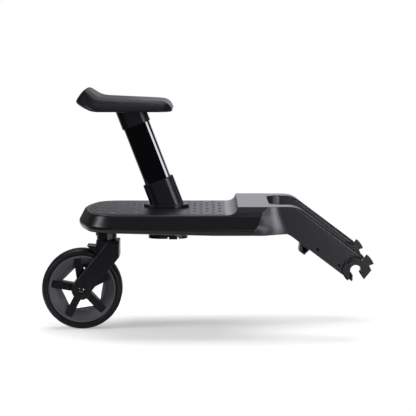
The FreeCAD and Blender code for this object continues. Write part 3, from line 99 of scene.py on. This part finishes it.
def addSurface(tree, finish, roughBy, roughSpan, toneBy=None, reliefBy=None):
    settings = {socket: finish[key] for key, socket in shaderSockets.items() if key in finish}
    rough = addNode(tree, "ShaderNodeMapRange",
                    {"From Min": roughSpan[0], "From Max": roughSpan[1],
                     "To Min": finish["roughLow"], "To Max": finish["roughHigh"]},
                    [("Value", roughBy)])
    links = [("Roughness", rough.outputs["Result"])]
    if toneBy is None:
        settings["Base Color"] = linear(finish["colour"])
    else:
        tone = addNode(tree, "ShaderNodeMapRange",
                       {"From Min": noiseSpan[0], "From Max": noiseSpan[1],
                        "To Min": 1 - finish["toneSpread"], "To Max": 1 + finish["toneSpread"]},
                       [("Value", toneBy)])
        colour = addNode(tree, "ShaderNodeHueSaturation", {"Color": linear(finish["colour"])},
                         [("Value", tone.outputs["Result"])])
        links.append(("Base Color", colour.outputs["Color"]))
    if reliefBy is not None:
        reliefLinks = [("Height", reliefBy)]
        if "edgeMm" in finish:
            edge = addNode(tree, "ShaderNodeBevel",
                           {"samples": edgeSamples, "Radius": mm(finish["edgeMm"])})
            reliefLinks.append(("Normal", edge.outputs["Normal"]))
        relief = addNode(tree, "ShaderNodeBump",
                         {"Strength": finish["bump"], "Distance": mm(finish["reliefMm"]),
                          "invert": finish.get("sunken", False)}, reliefLinks)
        links.append(("Normal", relief.outputs["Normal"]))
    shader = addNode(tree, "ShaderNodeBsdfPrincipled", settings, links)
    addNode(tree, "ShaderNodeOutputMaterial", {}, [("Surface", shader.outputs["BSDF"])])


# Moulded plastics: cloudy tone, eroded grain, edges that a mould leaves slightly round. The
# grain is drawn coarser than a mould's, or it would not show
moulded = {"cloudDetail": 2.0, "grainDetail": 3.0, "grainRoughness": 0.6}
# polypropylene from a spark-eroded mould: soft satin that greys where light grazes it
deckFinish = {"colour": "#0c0c0f", "cloudMm": 60, "toneSpread": 0.12, "grainMm": 1.1,
              "reliefMm": 0.05, "bump": 0.06, "roughLow": 0.26, "roughHigh": 0.31,
              "edgeMm": 1.0, "ior": 1.49, "specular": 0.38}
# thermoplastic elastomer laid into the deck: as dark as the deck and a little duller
treadFinish = {"colour": "#141417", "cloudMm": 40, "toneSpread": 0.12, "grainMm": 0.8,
               "reliefMm": 0.05, "bump": 0.22, "roughLow": 0.34, "roughHigh": 0.43,
               "edgeMm": 0.3, "ior": 1.49, "specular": 0.5}
# the same elastomer on the raised spots, painted grey: a painted highlight for the light their
# flanks catch, palest at the rear where the seat above takes that light
rearPipPaintedLightFinish = {"colour": "#707075", "cloudMm": 40, "toneSpread": 0.15, "grainMm": 0.8,
                "reliefMm": 0.05, "bump": 0.22, "roughLow": 0.50, "roughHigh": 0.60,
                "edgeMm": 0.2, "ior": 1.49, "specular": 0.4}
# the front spots get a darker copy of the same paint: painted light set for the brighter ground
# in front of the seat's foot
frontPipPaintedLightFinish = {**rearPipPaintedLightFinish, "colour": "#525256"}
# glass-filled nylon, moulded: deep black with a dry sheen on its edges
nylonFinish = {"colour": "#08080b", "cloudMm": 30, "toneSpread": 0.12, "grainMm": 0.9,
               "reliefMm": 0.04, "bump": 0.08, "roughLow": 0.28, "roughHigh": 0.34,
               "edgeMm": 0.4, "ior": 1.53, "specular": 0.25}
# grey nylon of the rim, moulded: flat stone grey with a faint sheen in the dish
rimFinish = {"colour": "#3f3f43", "cloudMm": 35, "toneSpread": 0.07, "grainMm": 1.0,
             "reliefMm": 0.05, "bump": 0.2, "roughLow": 0.42, "roughHigh": 0.52,
             "edgeMm": 0.5, "ior": 1.53, "specular": 0.4}
# black ABS of the spokes, moulded: darker and a touch glossier than the rim
spokeFinish = {"colour": "#050507", "cloudMm": 20, "toneSpread": 0.10, "grainMm": 0.9,
               "reliefMm": 0.03, "bump": 0.15, "roughLow": 0.30, "roughHigh": 0.38,
               "edgeMm": 0.5, "ior": 1.53, "specular": 0.2}
# natural acetal of the bushes, turned: waxy off-white
bushFinish = {"colour": "#c9c7bd", "cloudMm": 12, "toneSpread": 0.04, "grainMm": 0.7,
              "reliefMm": 0.02, "bump": 0.1, "roughLow": 0.30, "roughHigh": 0.40,
              "edgeMm": 0.3, "ior": 1.48, "specular": 0.5}


def mouldedPlastic(name, finish):
    material, tree, spot = newMaterial(name)
    cloud = addNode(tree, "ShaderNodeTexNoise",
                    {"Scale": perMm(finish["cloudMm"]), "Detail": moulded["cloudDetail"]},
                    [("Vector", spot)])
    grain = addNode(tree, "ShaderNodeTexNoise",
                    {"Scale": perMm(finish["grainMm"]), "Detail": moulded["grainDetail"],
                     "Roughness": moulded["grainRoughness"]}, [("Vector", spot)])
    addSurface(tree, finish, grain.outputs["Fac"], noiseSpan,
               toneBy=cloud.outputs["Fac"], reliefBy=grain.outputs["Fac"])
    return material


deckPolypropylene = mouldedPlastic("polypropylene_spark_eroded", deckFinish)
treadElastomer = mouldedPlastic("elastomer_tread_moulded", treadFinish)
# grey paint on the tread spots is painted light: a paler copy for the rear, a darker one for the
# front
rearPipPaintedLight = mouldedPlastic("elastomer_tread_painted_light_rear", rearPipPaintedLightFinish)
frontPipPaintedLight = mouldedPlastic("elastomer_tread_painted_light_front", frontPipPaintedLightFinish)
blackNylon = mouldedPlastic("nylon_glass_filled_moulded", nylonFinish)
greyNylon = mouldedPlastic("nylon_grey_moulded", rimFinish)
blackAbs = mouldedPlastic("abs_black_moulded", spokeFinish)
bushAcetal = mouldedPlastic("acetal_turned", bushFinish)

# Polyurethane integral skin of the seat: fine leather cells under an even satin
seatFinish = {"colour": "#0c0c0f", "cloudMm": 45, "cloudDetail": 2.0, "toneSpread": 0.12,
              "cellMm": 2.4, "cellSmoothness": 0.6, "reliefMm": 0.12, "sunken": True,
              "bump": 0.25, "roughLow": 0.33, "roughHigh": 0.41, "edgeMm": 0.8,
              "ior": 1.5, "specular": 0.20}


def skinFoam(name, finish):
    material, tree, spot = newMaterial(name)
    cloud = addNode(tree, "ShaderNodeTexNoise",
                    {"Scale": perMm(finish["cloudMm"]), "Detail": finish["cloudDetail"]},
                    [("Vector", spot)])
    cells = addNode(tree, "ShaderNodeTexVoronoi",
                    {"feature": "SMOOTH_F1", "Scale": perMm(finish["cellMm"]),
                     "Smoothness": finish["cellSmoothness"]}, [("Vector", spot)])
    addSurface(tree, finish, cells.outputs["Distance"], wholeSpan,
               toneBy=cloud.outputs["Fac"], reliefBy=cells.outputs["Distance"])
    return material


seatPolyurethane = skinFoam("polyurethane_integral_skin", seatFinish)

# Polyurethane tyre, cast: matt black with faint turning rings from its mould
tyreFinish = {"colour": "#08080a", "ringMm": 3.2, "ringDistortion": 0.4, "reliefMm": 0.06,
              "bump": 0.3, "scuffMm": 14, "scuffDetail": 4.0, "toneSpread": 0.2,
              "roughLow": 0.42, "roughHigh": 0.54, "ior": 1.5, "specular": 0.2}
wavePeriod = math.pi / 10  # length of one wave of the texture at a scale of 1


def castTyre(name, finish):
    material, tree, spot = newMaterial(name)
    centred = addNode(tree, "ShaderNodeMapping", {"Location": tuple(-middleOf("tyre"))},
                      [("Vector", spot)])
    rings = addNode(tree, "ShaderNodeTexWave",
                    {"wave_type": "RINGS", "rings_direction": "Y", "wave_profile": "SIN",
                     "Scale": perMm(finish["ringMm"]) * wavePeriod,
                     "Distortion": finish["ringDistortion"]},
                    [("Vector", centred.outputs["Vector"])])
    scuffs = addNode(tree, "ShaderNodeTexNoise",
                     {"Scale": perMm(finish["scuffMm"]), "Detail": finish["scuffDetail"]},
                     [("Vector", spot)])
    addSurface(tree, finish, scuffs.outputs["Fac"], noiseSpan,
               toneBy=scuffs.outputs["Fac"], reliefBy=rings.outputs["Fac"])
    return material


tyrePolyurethane = castTyre("polyurethane_tyre_cast", tyreFinish)

# Aluminium post, powder coated in gloss black: mirror-like with a slight orange peel
postFinish = {"colour": "#020204", "peelMm": 9, "peelDetail": 1.0, "reliefMm": 0.01,
              "bump": 0.12, "roughLow": 0.05, "roughHigh": 0.08, "ior": 1.52}


def glossCoat(name, finish):
    material, tree, spot = newMaterial(name)
    peel = addNode(tree, "ShaderNodeTexNoise",
                   {"Scale": perMm(finish["peelMm"]), "Detail": finish["peelDetail"]},
                   [("Vector", spot)])
    addSurface(tree, finish, peel.outputs["Fac"], wholeSpan, reliefBy=peel.outputs["Fac"])
    return material


postCoat = glossCoat("aluminium_gloss_powder_coat", postFinish)

# Plated steel, with drawn lines that are coarser than real ones, or they would not show
drawn = {"lineDetail": 2.0, "metallic": 1.0}
# zinc plated: bright, with soft streaks along the lines
zincFinish = {**drawn, "colour": "#b9bbbd", "lineMm": 0.5, "lineLength": 14,
              "roughLow": 0.24, "roughHigh": 0.40}
# black oxide: a dark gleam on the axle's bolt
blackedFinish = {**drawn, "colour": "#5a5a5e", "lineMm": 0.6, "lineLength": 10,
                 "roughLow": 0.12, "roughHigh": 0.20}
# phosphated pins, dull black and darkened further as painted shade for the holes they sit in
pinShadeFinish = {**drawn, "colour": "#0c0c0e", "lineMm": 0.6, "lineLength": 4,
             "roughLow": 0.50, "roughHigh": 0.65}


def platedSteel(name, finish):
    material, tree, spot = newMaterial(name)
    stretched = addNode(tree, "ShaderNodeMapping", {"Scale": (1, 1 / finish["lineLength"], 1)},
                        [("Vector", spot)])
    lines = addNode(tree, "ShaderNodeTexNoise",
                    {"Scale": perMm(finish["lineMm"]), "Detail": finish["lineDetail"]},
                    [("Vector", stretched.outputs["Vector"])])
    addSurface(tree, finish, lines.outputs["Fac"], wholeSpan)
    return material


zincSteel = platedSteel("steel_zinc_plated", zincFinish)
blackedSteel = platedSteel("steel_black_oxide", blackedFinish)
# the pins' near-black colour is painted shade for their holes
pinPaintedShadeSteel = platedSteel("steel_phosphated_painted_shade", pinShadeFinish)

nodesOf = {
    deckPolypropylene: ["deck_shell", "deck_under_tray"],
    treadElastomer: ["tread_mat"],
    blackNylon: ["swivel_housing", "axle_hook_right", "axle_hook_left", "hook_lock_right",
                 "hook_lock_left", "seat_socket", "seat_release_button",
                 "wheel_release_button", "fork", "seat_foot", "seat_neck", "thrust_washer"],
    seatPolyurethane: ["seat_shell", "seat_base"],
    greyNylon: ["wheel_rim"],
    blackAbs: ["wheel_star_right", "wheel_star_left"],
    tyrePolyurethane: ["tyre"],
    bushAcetal: ["swivel_bush_lower", "swivel_bush_upper"],
    postCoat: ["seat_post"],
    zincSteel: ["tray_screws", "housing_screws", "socket_screws", "seat_screws", "neck_screws",
                "kingpin", "kingpin_clip", "axle_nut", "axle_spacers", "hub_sleeve",
                "wheel_bearing_right", "wheel_bearing_left", "wheel_release_spring",
                "seat_release_spring"],
    blackedSteel: ["axle_bolt"],
    pinPaintedShadeSteel: ["hook_pins"],
}
for material, names in nodesOf.items():
    for name in names:
        nodes[name].data.materials.clear()
        nodes[name].data.materials.append(material)
print("finishes on", sum(len(names) for names in nodesOf.values()), "nodes")


def addObject(name, mesh, material):
    data = bpy.data.meshes.new(name)
    mesh.to_mesh(data)
    mesh.free()
    data.materials.append(material)
    thing = bpy.data.objects.new(name, data)
    scene.collection.objects.link(thing)
    return thing


def makePiece(name, mesh, material, body, smoothAngle=0):
    piece = addObject(name, mesh, material)
    if smoothAngle:
        piece.data.shade_smooth()
        piece.data.set_sharp_from_angle(angle=math.radians(smoothAngle))
    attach(piece, body)
    return piece


# Raised triangles of the tread, in staggered rows, with a bare border and a bare strip across
# the seat's foot
tread = {"pitchX": 23, "rowPitch": 27, "stagger": 0.5, "side": 8, "height": 1.4,
         "topShare": 0.5, "sink": 0.1, "bevel": 0.15, "bevelSegments": 2,
         "border": 8, "frontBorder": 6, "cornerRadius": 42, "bareHalf": 38}
matLow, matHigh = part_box("tread_mat")
footMiddle = middleOf("seat_socket")


def insideTread(x, y):
    if abs(x - footMiddle.x) < mm(tread["bareHalf"]):
        return False
    cornerX = matLow.x + mm(tread["border"] + tread["cornerRadius"])
    cornerY = matHigh.y - mm(tread["border"] + tread["cornerRadius"])
    if x < cornerX and abs(y) > cornerY:
        return math.hypot(x - cornerX, abs(y) - cornerY) < mm(tread["cornerRadius"])
    return matLow.x + mm(tread["border"]) < x < matHigh.x - mm(tread["frontBorder"])


rearPips, frontPips = bmesh.new(), bmesh.new()
rows = int((matHigh.y - mm(tread["border"])) / mm(tread["rowPitch"]))
columns = int((matHigh.x - matLow.x) / mm(tread["pitchX"])) + 2
pipRadius = mm(tread["side"]) / math.sqrt(3)
pipZ = matHigh.z + mm(tread["height"] / 2 - tread["sink"])
pipCount = 0
for row in range(-rows, rows + 1):
    for column in range(columns):
        x = matLow.x + (column + tread["stagger"] * (row % 2)) * mm(tread["pitchX"])
        y = row * mm(tread["rowPitch"])
        if not insideTread(x, y):
            continue
        bmesh.ops.create_cone(rearPips if x < footMiddle.x else frontPips, cap_ends=True,
                              segments=3, radius1=pipRadius,
                              radius2=pipRadius * tread["topShare"], depth=mm(tread["height"]),
                              matrix=Matrix.Translation((x, y, pipZ)))
        pipCount += 1
# rear spots take the paler painted highlight, front spots the darker copy
for name, mesh, rubber in (("tread_pips_rear", rearPips, rearPipPaintedLight),
                           ("tread_pips_front", frontPips, frontPipPaintedLight)):
    bmesh.ops.bevel(mesh, geom=mesh.edges[:], offset=mm(tread["bevel"]), affect="EDGES",
                    segments=tread["bevelSegments"], profile=0.5, material=-1)
    makePiece(name, mesh, rubber, "deck")
print("tread triangles:", pipCount)

# Seat post: an extruded tube with a narrow flat on each side, just behind its rounded front
post = {"tilt": 21.1, "footX": -68.5, "deckTop": 227, "halfLength": 24.8, "halfWidth": 17.5,
        "rearCorner": 11, "frontCorner": 4.0, "cornerSegments": 12, "flatStart": 6.9,
        "flatTurn": 10.5, "smoothAngle": 9}


def makePost():
    lean = math.radians(post["tilt"])
    low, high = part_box("seat_post")
    reach = mm(post["halfLength"]) * math.sin(lean)
    start = (low.z - mm(post["deckTop"]) + reach) / math.cos(lean)
    end = (high.z - mm(post["deckTop"]) - reach) / math.cos(lean)
    front, side = post["halfLength"], post["halfWidth"]
    flat = front - post["flatStart"]
    turned = side - post["flatStart"] * math.tan(math.radians(post["flatTurn"]))
    outline = [(-front, -side), (flat, -side), (front, -turned),
               (front, turned), (flat, side), (-front, side)]
    mesh = bmesh.new()
    verts = [mesh.verts.new((mm(along), mm(across), start)) for along, across in outline]
    mesh.faces.new(verts)
    for corners, radius in (((verts[0], verts[5]), post["rearCorner"]),
                            ((verts[2], verts[3]), post["frontCorner"])):
        bmesh.ops.bevel(mesh, geom=list(corners), offset=mm(radius), affect="VERTICES",
                        segments=post["cornerSegments"], profile=0.5, material=-1)
    grown = bmesh.ops.extrude_face_region(mesh, geom=mesh.faces[:])
    top = [item for item in grown["geom"] if isinstance(item, bmesh.types.BMVert)]
    bmesh.ops.translate(mesh, verts=top, vec=(0, 0, end - start))
    foot = Matrix.Translation((mm(post["footX"]), 0, mm(post["deckTop"])))
    bmesh.ops.transform(mesh, matrix=foot @ Matrix.Rotation(-lean, 4, "Y"), verts=mesh.verts[:])
    bmesh.ops.recalc_face_normals(mesh, faces=mesh.faces[:])
    return mesh


postTube = makePiece("post_tube", makePost(), postCoat, "seat",
                     post["smoothAngle"])
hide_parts("seat_post")
print("post with flats made")

# Seat: the model's shell as a soft skinned moulding, its outer edges rounded and its pocket kept
saddle = {"voxel": 2.5, "passes": 22, "rimPasses": 5, "strength": 0.5, "pocketMargin": 1.5,
          "pocketTop": 425, "rimTop": 412, "smoothAngle": 60}


def makeSaddle():
    source = bpy.data.objects.new("saddle_source", nodes["seat_shell"].data.copy())
    source.matrix_world = nodes["seat_shell"].matrix_world
    scene.collection.objects.link(source)
    remesh = source.modifiers.new("remesh", "REMESH")
    remesh.mode = "VOXEL"
    remesh.voxel_size = mm(saddle["voxel"])
    evaluated = source.evaluated_get(bpy.context.evaluated_depsgraph_get())
    shape = bpy.data.meshes.new_from_object(evaluated)
    mesh = bmesh.new()
    mesh.from_mesh(shape)
    bmesh.ops.transform(mesh, matrix=source.matrix_world, verts=mesh.verts[:])
    for leftover in (source.data, shape):  # the source object goes with its mesh
        bpy.data.meshes.remove(leftover)
    low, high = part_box("seat_base")
    margin, pocketTop = mm(saddle["pocketMargin"]), mm(saddle["pocketTop"])
    skin = [vert for vert in mesh.verts
            if vert.co.z > pocketTop or abs(vert.co.y) > high.y + margin
            or not low.x - margin < vert.co.x < high.x + margin]
    upper = [vert for vert in skin if vert.co.z > mm(saddle["rimTop"])]
    for turn in range(saddle["passes"]):
        bmesh.ops.smooth_vert(mesh, verts=skin if turn < saddle["rimPasses"] else upper,
                              factor=saddle["strength"],
                              use_axis_x=True, use_axis_y=True, use_axis_z=True)
    top = max(vert.co.z for vert in mesh.verts)
    stretch = (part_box("seat_shell")[1].z - pocketTop) / (top - pocketTop)
    for vert in upper:  # back to the height that smoothing took
        if vert.co.z > pocketTop:
            vert.co.z = pocketTop + (vert.co.z - pocketTop) * stretch
    bmesh.ops.recalc_face_normals(mesh, faces=mesh.faces[:])
    return mesh


seatSaddle = makePiece("seat_saddle", makeSaddle(), seatPolyurethane, "seat",
                       saddle["smoothAngle"])
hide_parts("seat_shell")
print("saddle made")


# Turned fasteners: rings along one axis, bridged from the recess outwards

def turnedHead(recess, fastener):
    rings, segments = fastener["rings"], fastener["segments"]
    mesh = bmesh.new()
    verts = [mesh.verts.new((mm(x), mm(y), mm(rings[0][1]))) for x, y in recess]
    for first, second in zip(verts, verts[1:] + verts[:1]):
        mesh.edges.new((first, second))
    bmesh.ops.subdivide_edges(mesh, edges=mesh.edges[:], cuts=segments // len(recess) - 1)
    mouth = mesh.edges[:]
    inner = mouth
    for radius, height in rings:
        circle = bmesh.ops.create_circle(mesh, segments=segments, radius=mm(radius),
                                         matrix=Matrix.Translation((0, 0, mm(height))))
        outer = list({edge for vert in circle["verts"] for edge in vert.link_edges})
        bmesh.ops.bridge_loops(mesh, edges=inner + outer)
        inner = outer
    bmesh.ops.edgeloop_fill(mesh, edges=inner)
    sunk = bmesh.ops.extrude_edge_only(mesh, edges=mouth)["geom"]
    floorVerts = [item for item in sunk if isinstance(item, bmesh.types.BMVert)]
    floorEdges = [item for item in sunk if isinstance(item, bmesh.types.BMEdge)]
    taper = fastener["recessTaper"]
    bmesh.ops.translate(mesh, verts=floorVerts, vec=(0, 0, -mm(fastener["recessDepth"])))
    bmesh.ops.scale(mesh, verts=floorVerts, vec=(taper, taper, 1))
    bmesh.ops.edgeloop_fill(mesh, edges=floorEdges)
    bmesh.ops.recalc_face_normals(mesh, faces=mesh.faces[:])
    return mesh


# Axle bolt: domed head with a hexagon socket, set in the fork's blade
bolt = {"socketRadius": 2.9, "recessDepth": 2.8, "recessTaper": 1.0, "segments": 48,
        "rings": [(3.3, -0.05), (4.2, -0.2), (5.2, -0.65), (5.9, -1.3), (6.35, -2.1),
                  (6.5, -3.0), (6.5, -4.0), (4.0, -4.0), (4.0, -66.0)],
        "smoothAngle": 30}
socketCorners = [math.radians(angle) for angle in range(0, 360, 60)]
hexagon = [(bolt["socketRadius"] * math.cos(corner), bolt["socketRadius"] * math.sin(corner))
           for corner in socketCorners]
boltMesh = turnedHead(hexagon, bolt)
boltMiddle = middleOf("axle_bolt")
boltPlace = Matrix.Translation((boltMiddle.x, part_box("axle_bolt")[0].y, boltMiddle.z))
bmesh.ops.transform(boltMesh, matrix=boltPlace @ Matrix.Rotation(math.pi / 2, 4, "X"),
                    verts=boltMesh.verts[:])
axleBolt = makePiece("axle_bolt_domed", boltMesh, blackedSteel, "caster",
                     bolt["smoothAngle"])
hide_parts("axle_bolt")

# Pan head screws with a cross recess, one group for each screw node listed below, heads down
screw = {"armHalf": 0.5, "armReach": 1.9, "recessDepth": 1.5, "recessTaper": 0.45,
         "segments": 24,
         "rings": [(2.3, 0.0), (2.8, -0.15), (3.25, -0.55), (3.5, -1.1), (3.6, -1.8),
                   (3.6, -2.4), (1.8, -2.4), (1.8, -10.6), (1.0, -11.4)],
         "turnStep": 37, "smoothAngle": 30}  # turned so that no two recesses stop alike
screwBodies = {"tray_screws": "deck", "housing_screws": "deck", "socket_screws": "deck",
               "seat_screws": "seat"}
weldDistance = 0.001  # joins the loose triangles of a node


def solidsOf(nodeName):  # lowest and highest corner of each solid in a node
    mesh = bmesh.new()
    mesh.from_mesh(nodes[nodeName].data)
    bmesh.ops.remove_doubles(mesh, verts=mesh.verts[:], dist=mm(weldDistance))
    boxes, met = [], set()
    for start in mesh.verts:
        if start in met:
            continue
        met.add(start)
        island, waiting = [], [start]
        while waiting:
            vert = waiting.pop()
            island.append(vert.co.copy())
            for edge in vert.link_edges:
                other = edge.other_vert(vert)
                if other not in met:
                    met.add(other)
                    waiting.append(other)
        boxes.append([Vector([pick(point[axis] for point in island) for axis in range(3)])
                      for pick in (min, max)])
    mesh.free()
    return boxes


half, reach = screw["armHalf"], screw["armReach"]
cross = [(half, reach), (-half, reach), (-half, half), (-reach, half), (-reach, -half),
         (-half, -half), (-half, -reach), (half, -reach), (half, -half), (reach, -half),
         (reach, half), (half, half)]
oneScrew = turnedHead(cross, screw)
screwData = bpy.data.meshes.new("one_screw")
oneScrew.to_mesh(screwData)
oneScrew.free()
headDown = Matrix.Rotation(math.pi, 4, "X")
for nodeName, body in screwBodies.items():
    group = bmesh.new()
    for index, (low, high) in enumerate(solidsOf(nodeName)):
        middle = (low + high) / 2
        before = len(group.verts)
        group.from_mesh(screwData)
        turn = Matrix.Rotation(math.radians(screw["turnStep"] * index), 4, "Z")
        place = Matrix.Translation((middle.x, middle.y, low.z))
        bmesh.ops.transform(group, matrix=place @ turn @ headDown, verts=group.verts[before:])
    screws = makePiece(nodeName + "_cross", group, zincSteel, body,
                       screw["smoothAngle"])
    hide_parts(nodeName)
bpy.data.meshes.remove(screwData)
print("bolt and screws made")

# Return springs of the two buttons: one wound wire each
springs = {
    "seat_release_spring": {"joint": "seat_release_press", "axis": (0, 0, 1),
                            "wire": 0.5, "turns": 4},
    "wheel_release_spring": {"joint": "wheel_release_press", "axis": (1, 0, 0),
                             "wire": 0.25, "turns": 5},
}
winding = {"stroke": 2.0, "stepsPerTurn": 18, "wireSides": 8, "smoothAngle": 60}
for nodeName, spring in springs.items():
    low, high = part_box(nodeName)
    middle = (low + high) / 2
    along = Vector(spring["axis"])
    length = along.dot(high - low)
    wire = mm(spring["wire"])
    radius = min(size for size, share in zip(high - low, along) if share == 0) / 2 - wire
    steps = spring["turns"] * winding["stepsPerTurn"]
    mesh = bmesh.new()
    start = Matrix.Translation((radius, 0, wire - length / 2))
    bmesh.ops.create_circle(mesh, segments=winding["wireSides"], radius=wire,
                            matrix=start @ Matrix.Rotation(math.pi / 2, 4, "X"))
    bmesh.ops.spin(mesh, geom=mesh.verts[:] + mesh.edges[:], cent=(0, 0, 0), axis=(0, 0, 1),
                   steps=steps, angle=2 * math.pi * spring["turns"],
                   dvec=(0, 0, (length - 2 * wire) / steps))
    bmesh.ops.edgeloop_fill(mesh, edges=[edge for edge in mesh.edges if edge.is_boundary])
    lay = Vector((0, 0, 1)).rotation_difference(along).to_matrix().to_4x4()
    bmesh.ops.transform(mesh, matrix=Matrix.Translation(middle) @ lay, verts=mesh.verts[:])
    bmesh.ops.recalc_face_normals(mesh, faces=mesh.faces[:])
    coil = makePiece(nodeName + "_wound", mesh, zincSteel, "deck",
                     winding["smoothAngle"])
    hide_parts(nodeName)
    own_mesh(coil)
print("springs wound")

# Floor: a disc of uncoated paper, matt and pale, that glows to white for the camera alone
paper = {"radius": 0.5, "segments": 96, "drop": 0.2, "tone": "#f5f5ec", "roughness": 0.9,
         "glowMiddle": 0.3, "glowRim": 0.45, "rimStart": 0.3}
floorPaper, floorTree, floorSpot = newMaterial("paper_white_uncoated")
rays = addNode(floorTree, "ShaderNodeLightPath", {})
distance = addNode(floorTree, "ShaderNodeVectorMath", {"operation": "LENGTH"}, [(0, floorSpot)])
glow = addNode(floorTree, "ShaderNodeMapRange",
               {"From Min": paper["rimStart"], "From Max": paper["radius"],
                "To Min": paper["glowMiddle"], "To Max": paper["glowRim"]},
               [("Value", distance.outputs["Value"])])
cameraGlow = addNode(floorTree, "ShaderNodeMath", {"operation": "MULTIPLY"},
                     [(0, rays.outputs["Is Camera Ray"]), (1, glow.outputs["Result"])])
sheen = addNode(floorTree, "ShaderNodeBsdfPrincipled",
                {"Base Color": linear(paper["tone"]), "Roughness": paper["roughness"],
                 "Specular IOR Level": 0.0, "Emission Color": (1, 1, 1, 1)},
                [("Emission Strength", cameraGlow.outputs["Value"])])
addNode(floorTree, "ShaderNodeOutputMaterial", {}, [("Surface", sheen.outputs["BSDF"])])
floorMesh = bmesh.new()
bmesh.ops.create_circle(floorMesh, cap_ends=True, segments=paper["segments"],
                        radius=paper["radius"])
bmesh.ops.translate(floorMesh, verts=floorMesh.verts[:], vec=(0, 0, -mm(paper["drop"])))
floor = addObject("floor", floorMesh, floorPaper)

# World: white where the camera looks and, for mirrors, behind and below the object. Elsewhere
# it is a dim room, a little lighter at the back
room = {"behindStart": 0.2, "behindFull": 0.7, "belowStart": -0.03, "belowFull": -0.12,
        "frontLevel": 0.05, "backLevel": 0.10, "turn": 0.35}
world = bpy.data.worlds.new("studio")
scene.world = world
world.use_nodes = True
worldTree = world.node_tree
worldTree.nodes.clear()
rays = addNode(worldTree, "ShaderNodeLightPath", {})
outward = addNode(worldTree, "ShaderNodeTexCoord", {})
axes = addNode(worldTree, "ShaderNodeSeparateXYZ", {},
               [("Vector", outward.outputs["Generated"])])
behind = addNode(worldTree, "ShaderNodeMapRange",
                 {"From Min": room["behindStart"], "From Max": room["behindFull"]},
                 [("Value", axes.outputs["Y"])])
below = addNode(worldTree, "ShaderNodeMapRange",
                {"From Min": room["belowStart"], "From Max": room["belowFull"]},
                [("Value", axes.outputs["Z"])])
backdrop = addNode(worldTree, "ShaderNodeMath", {"operation": "MULTIPLY"},
                   [(0, behind.outputs["Result"]), (1, below.outputs["Result"])])
mirrored = addNode(worldTree, "ShaderNodeMath", {"operation": "MAXIMUM"},
                   [(0, rays.outputs["Is Glossy Ray"]),
                    (1, rays.outputs["Is Transmission Ray"])])
mirroredWhite = addNode(worldTree, "ShaderNodeMath", {"operation": "MULTIPLY"},
                        [(0, mirrored.outputs["Value"]), (1, backdrop.outputs["Value"])])
white = addNode(worldTree, "ShaderNodeMath", {"operation": "MAXIMUM"},
                [(0, rays.outputs["Is Camera Ray"]), (1, mirroredWhite.outputs["Value"])])
dim = addNode(worldTree, "ShaderNodeMapRange",
              {"From Min": -room["turn"], "From Max": room["turn"],
               "To Min": room["frontLevel"], "To Max": room["backLevel"]},
              [("Value", axes.outputs["Y"])])
shown = addNode(worldTree, "ShaderNodeMath", {"operation": "MAXIMUM"},
                [(0, white.outputs["Value"]), (1, dim.outputs["Result"])])
sky = addNode(worldTree, "ShaderNodeBackground", {"Color": (1, 1, 1, 1)},
              [("Strength", shown.outputs["Value"])])
addNode(worldTree, "ShaderNodeOutputWorld", {}, [("Surface", sky.outputs["Background"])])

# Soft boxes: a bright strip to the right of the camera, and dimmer panels round the object
lampTint = (1.0, 1.0, 1.09)
softBoxes = {
    "right_strip": {"place": (1.075, -2.80, 0.35), "aim": (0, 0, 0.3),
                    "width": 0.73, "height": 0.8, "level": 17},
    "right_fill": {"place": (1.99, -2.25, 0.60), "aim": (0, 0, 0.3),
                   "width": 1.4, "height": 0.7, "level": 5.5},
    "right_low": {"place": (1.09, -0.84, -0.12), "aim": (0.11, -0.15, 0.13),
                  "width": 0.75, "height": 0.40, "level": 5},
    "right_wall": {"place": (3.0, 0.3, 0.70), "aim": (0.2, 0, 0.2),
                   "width": 2.0, "height": 1.2, "level": 1.2},
    "left_box": {"place": (-2.80, -1.05, 1.50), "aim": (-0.1, 0, 0.22),
                 "width": 1.2, "height": 1.0, "level": 7},
    "left_wide": {"place": (-2.75, -1.20, 1.30), "aim": (-0.1, 0, 0.22),
                  "width": 2.4, "height": 1.2, "level": 2},
    "left_veil": {"place": (-2.10, -2.10, 1.20), "aim": (-0.1, 0, 0.22),
                  "width": 2.2, "height": 1.2, "level": 0.7},
    "top_box": {"place": (0.0, 0.3, 2.4), "aim": (0, 0, 0.2),
                "width": 2.4, "height": 1.6, "level": 3},
    "front_box": {"place": (0.0, -1.93, 2.5), "aim": (0, 0, 0.2),
                  "width": 2.0, "height": 1.05, "level": 1.2},
    "back_wide": {"place": (0.075, 1.27, 0.62), "aim": (0.075, 0, 0.62),
                  "width": 0.75, "height": 0.8, "level": 0.30},
    "back_middle": {"place": (0.105, 1.26, 0.60), "aim": (0.105, 0, 0.60),
                    "width": 0.51, "height": 0.76, "level": 0.30},
    "back_narrow": {"place": (0.125, 1.25, 0.58), "aim": (0.125, 0, 0.58),
                    "width": 0.25, "height": 0.72, "level": 0.30},
    "rear_fill": {"place": (-0.5, 1.7, 2.3), "aim": (0, 0, 0.25),
                  "width": 1.6, "height": 0.9, "level": 1.3},
}
for name, box in softBoxes.items():
    lamp = bpy.data.lights.new(name, "AREA")
    lamp.shape = "RECTANGLE"
    lamp.color = lampTint
    lamp.size = box["width"]
    lamp.size_y = box["height"]
    lamp.energy = box["level"] * math.pi * box["width"] * box["height"]  # level is its brightness
    lampObject = bpy.data.objects.new(name, lamp)
    lampObject.location = box["place"]
    aim = Vector(box["aim"]) - Vector(box["place"])
    lampObject.rotation_euler = aim.to_track_quat("-Z", "Y").to_euler()
    lampObject.visible_camera = False
    scene.collection.objects.link(lampObject)

# Camera at the photo's angle: far off, a little above the seat and looking slightly down
view = {"eye": (-0.00192, -3.92484, 0.59067), "pitch": 0.0927, "yaw": 0.00185,
        "lens": 182.32, "sensor": 36.0}
cameraData = bpy.data.cameras.new("camera")
cameraData.lens = view["lens"]
cameraData.sensor_width = view["sensor"]
camera = bpy.data.objects.new("camera", cameraData)
camera.location = view["eye"]
camera.rotation_euler = (math.pi / 2 - view["pitch"], 0, -view["yaw"])
scene.collection.objects.link(camera)
scene.camera = camera
scene.view_settings.view_transform = "Standard"
print("studio and camera set")
